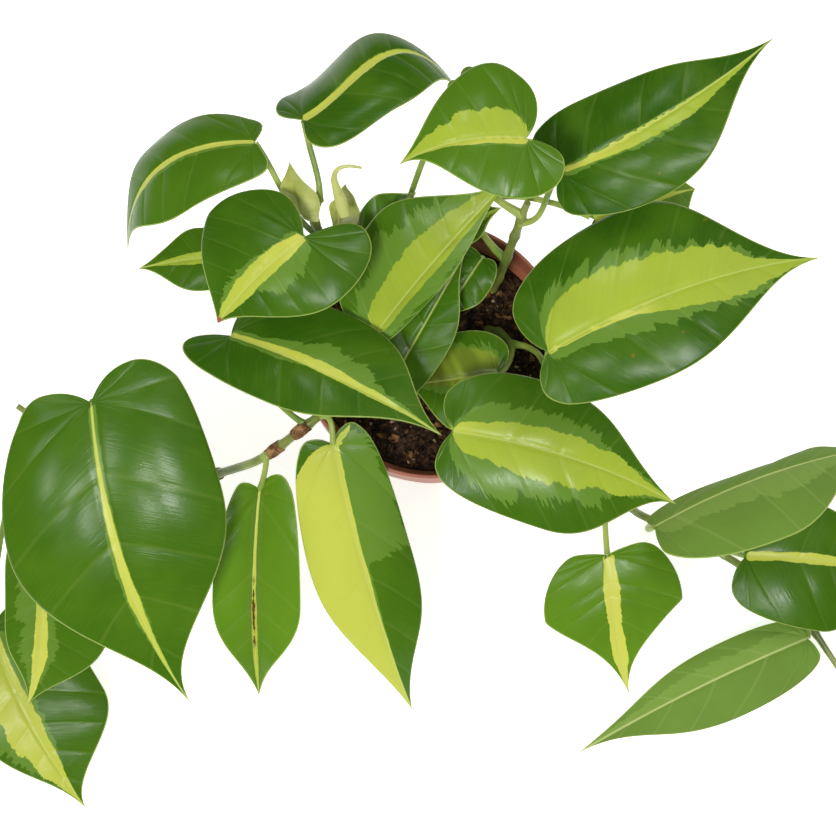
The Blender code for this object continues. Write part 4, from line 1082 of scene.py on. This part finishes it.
def colour_property(name, description, default):
    return bpy.props.FloatVectorProperty(name=name, description=description, subtype="COLOR", size=3,
                                         min=0.0, max=1.0, default=default)


class PlantSettings(bpy.types.PropertyGroup):
    dark: colour_property("Dark green", "Ground colour of the leaves", (0.023, 0.086, 0.002))
    fresh: colour_property("Fresh green", "Lighter ground colour of young leaves", (0.110, 0.240, 0.012))
    mid: colour_property("Middle green", "Band between the ground and the lime", (0.125, 0.235, 0.030))
    lime: colour_property("Lime", "Bright band along the midrib", (0.355, 0.450, 0.040))
    stripe: colour_property("Stripe", "Narrow part of the bright band", (0.62, 0.62, 0.10))
    pot: colour_property("Pot", "Plastic of the pot", (0.33, 0.105, 0.06))
    floor: colour_property("Floor", "Surface that the pot stands on", (0.93, 0.93, 0.93))
    crumb_size: bpy.props.FloatProperty(name="Crumb size", description="Scale of the loose soil",
                                        default=1.0, min=0.2, max=3.0)
    crumb_seed: bpy.props.IntProperty(name="Crumb seed", description="Another seed scatters the soil anew",
                                      default=11, min=0)
    floor_size: bpy.props.FloatProperty(name="Floor size", description="Side of the square floor",
                                        default=8.0, min=1.0, unit="LENGTH")
    sun_power: bpy.props.FloatProperty(name="Key light", description="Power of the main light",
                                       default=17.0, min=0.0, unit="POWER")


SHARED = {}


def shared(context):
    """Materials and trees made once for every leaf and stem."""
    if not SHARED:
        s = context.scene.plant_settings
        SHARED.update(shared_materials({k: tuple(getattr(s, k))
                                        for k in ("dark", "fresh", "mid", "lime", "stripe")}))
    return SHARED


class PLANT_OT_pot(bpy.types.Operator):
    """Build the plastic pot"""
    bl_idname = "plant.pot"
    bl_label = "Pot"

    def execute(self, context):
        build_pot(tuple(context.scene.plant_settings.pot))
        return {"FINISHED"}


class PLANT_OT_soil(bpy.types.Operator):
    """Fill the pot with soil and scatter loose bits over it"""
    bl_idname = "plant.soil"
    bl_label = "Soil"

    def execute(self, context):
        s = context.scene.plant_settings
        build_soil(crumb_tree(), s.crumb_seed, s.crumb_size)
        return {"FINISHED"}


class PLANT_OT_stems(bpy.types.Operator):
    """Grow the stems with their nodes and papery sheaths"""
    bl_idname = "plant.stems"
    bl_label = "Stems"

    def execute(self, context):
        for name in STEMS:
            build_stem(name, shared(context))
        return {"FINISHED"}


class PLANT_OT_leaves(bpy.types.Operator):
    """Grow every open leaf with its stalk"""
    bl_idname = "plant.leaves"
    bl_label = "Leaves"

    def execute(self, context):
        for number, node in enumerate(LEAVES):
            if not LOOKS[node].get("young"):
                build_leaf(node, number, shared(context))
        return {"FINISHED"}


class PLANT_OT_young(bpy.types.Operator):
    """Grow the pale sheaths and the leaf that is still rolled up"""
    bl_idname = "plant.young"
    bl_label = "Young growth"

    def execute(self, context):
        for number, node in enumerate(LEAVES):
            if LOOKS[node].get("young"):
                build_leaf(node, number, shared(context))
        build_rolled_leaf(shared(context))
        return {"FINISHED"}


class PLANT_OT_stage(bpy.types.Operator):
    """Set the floor, the lights and the camera"""
    bl_idname = "plant.stage"
    bl_label = "Stage"

    def execute(self, context):
        build_stage(context.scene)
        return {"FINISHED"}


class PLANT_PT_panel(bpy.types.Panel):
    bl_label = "Potted philodendron"
    bl_idname = "PLANT_PT_panel"
    bl_space_type = "VIEW_3D"
    bl_region_type = "UI"
    bl_category = "Plant"

    def draw(self, context):
        settings = context.scene.plant_settings
        for key in PlantSettings.__annotations__:
            self.layout.prop(settings, key)
        for operator in OPERATORS:
            self.layout.operator(operator.bl_idname)


OPERATORS = (PLANT_OT_pot, PLANT_OT_soil, PLANT_OT_stems, PLANT_OT_leaves, PLANT_OT_young, PLANT_OT_stage)
CLASSES = (PlantSettings, *OPERATORS, PLANT_PT_panel)


# Name, place and side in metres, share of the main light's power, and whether it is a gleam.
LIGHTS = (
    ("key", (-0.4, -0.75, 1.45), 0.4, 1.0, False),
    ("fill", (0.8, 0.5, 1.3), 0.9, 0.4, False),
    ("gleam_front", (0.02, -0.42, 1.4), 0.18, 0.3, True),
    ("gleam_back", (-0.3, 0.75, 1.4), 0.25, 0.15, True),
    ("gleam_side", (-0.5, -0.2, 1.4), 0.18, 0.2, True),
    ("gleam_low", (0.36, -0.22, 1.4), 0.16, 0.4, True),
)
LIGHTS_AIM = (0.0, 0.0, 0.1)


def area_light(name, spot, size, power, gleam):
    """Square light. A gleam only shows as a highlight, and the others only light the colours."""
    data = bpy.data.lights.new(name, "AREA")
    data.shape = "SQUARE"
    data.size, data.energy = size, power
    light = bpy.data.objects.new(name, data)
    light.location = spot
    light.rotation_euler = (Vector(LIGHTS_AIM) - Vector(spot)).to_track_quat("-Z", "Y").to_euler()
    light.visible_glossy, light.visible_diffuse = gleam, not gleam
    bpy.context.scene.collection.objects.link(light)


def build_stage(scene):
    settings = scene.plant_settings
    half = settings.floor_size / 2
    data = bpy.data.meshes.new("floor")
    data.from_pydata([(-half, -half, FLOOR_Z), (half, -half, FLOOR_Z), (half, half, FLOOR_Z),
                      (-half, half, FLOOR_Z)], [], [(0, 1, 2, 3)])
    mat, wires, shader = new_material("studio_floor")
    shader.inputs["Base Color"].default_value = (*settings.floor, 1.0)
    shader.inputs["Roughness"].default_value = 0.9
    shader.inputs["Emission Color"].default_value = (1.0, 1.0, 1.0, 1.0)
    shader.inputs["Emission Strength"].default_value = 0.70
    data.materials.append(mat)
    floor = link("floor", data)
    world = bpy.data.worlds.new("studio")
    world.use_nodes = True
    sky = world.node_tree.nodes["Background"]
    sky.inputs["Color"].default_value = (1.0, 1.0, 1.0, 1.0)
    sky.inputs["Strength"].default_value = 0.40
    scene.world = world
    world.cycles_visibility.glossy = False
    scene.view_settings.view_transform = "Standard"
    for name, spot, size, share, gleam in LIGHTS:
        area_light(name, spot, size, settings.sun_power * share, gleam)
    camera = bpy.data.cameras.new("camera")
    camera.lens, camera.sensor_width = CAMERA_LENS, 36.0
    camera.clip_start, camera.clip_end = 0.05, 50.0
    rig = bpy.data.objects.new("camera", camera)
    tilt = math.radians(CAMERA_ELEVATION)
    aim = Vector(CAMERA_AIM) * MM
    rig.location = aim + Vector((0, -math.cos(tilt), math.sin(tilt))) * CAMERA_DISTANCE * MM
    rig.rotation_euler = (math.pi / 2 - tilt, 0, 0)
    scene.collection.objects.link(rig)
    scene.camera = rig


def register():
    for cls in CLASSES:
        bpy.utils.register_class(cls)
    bpy.types.Scene.plant_settings = bpy.props.PointerProperty(type=PlantSettings)


def unregister():
    del bpy.types.Scene.plant_settings
    for cls in reversed(CLASSES):
        bpy.utils.unregister_class(cls)


def main():
    register()
    for operator in OPERATORS:
        group, name = operator.bl_idname.split(".")
        getattr(getattr(bpy.ops, group), name)()


if __name__ == "__main__":
    main()
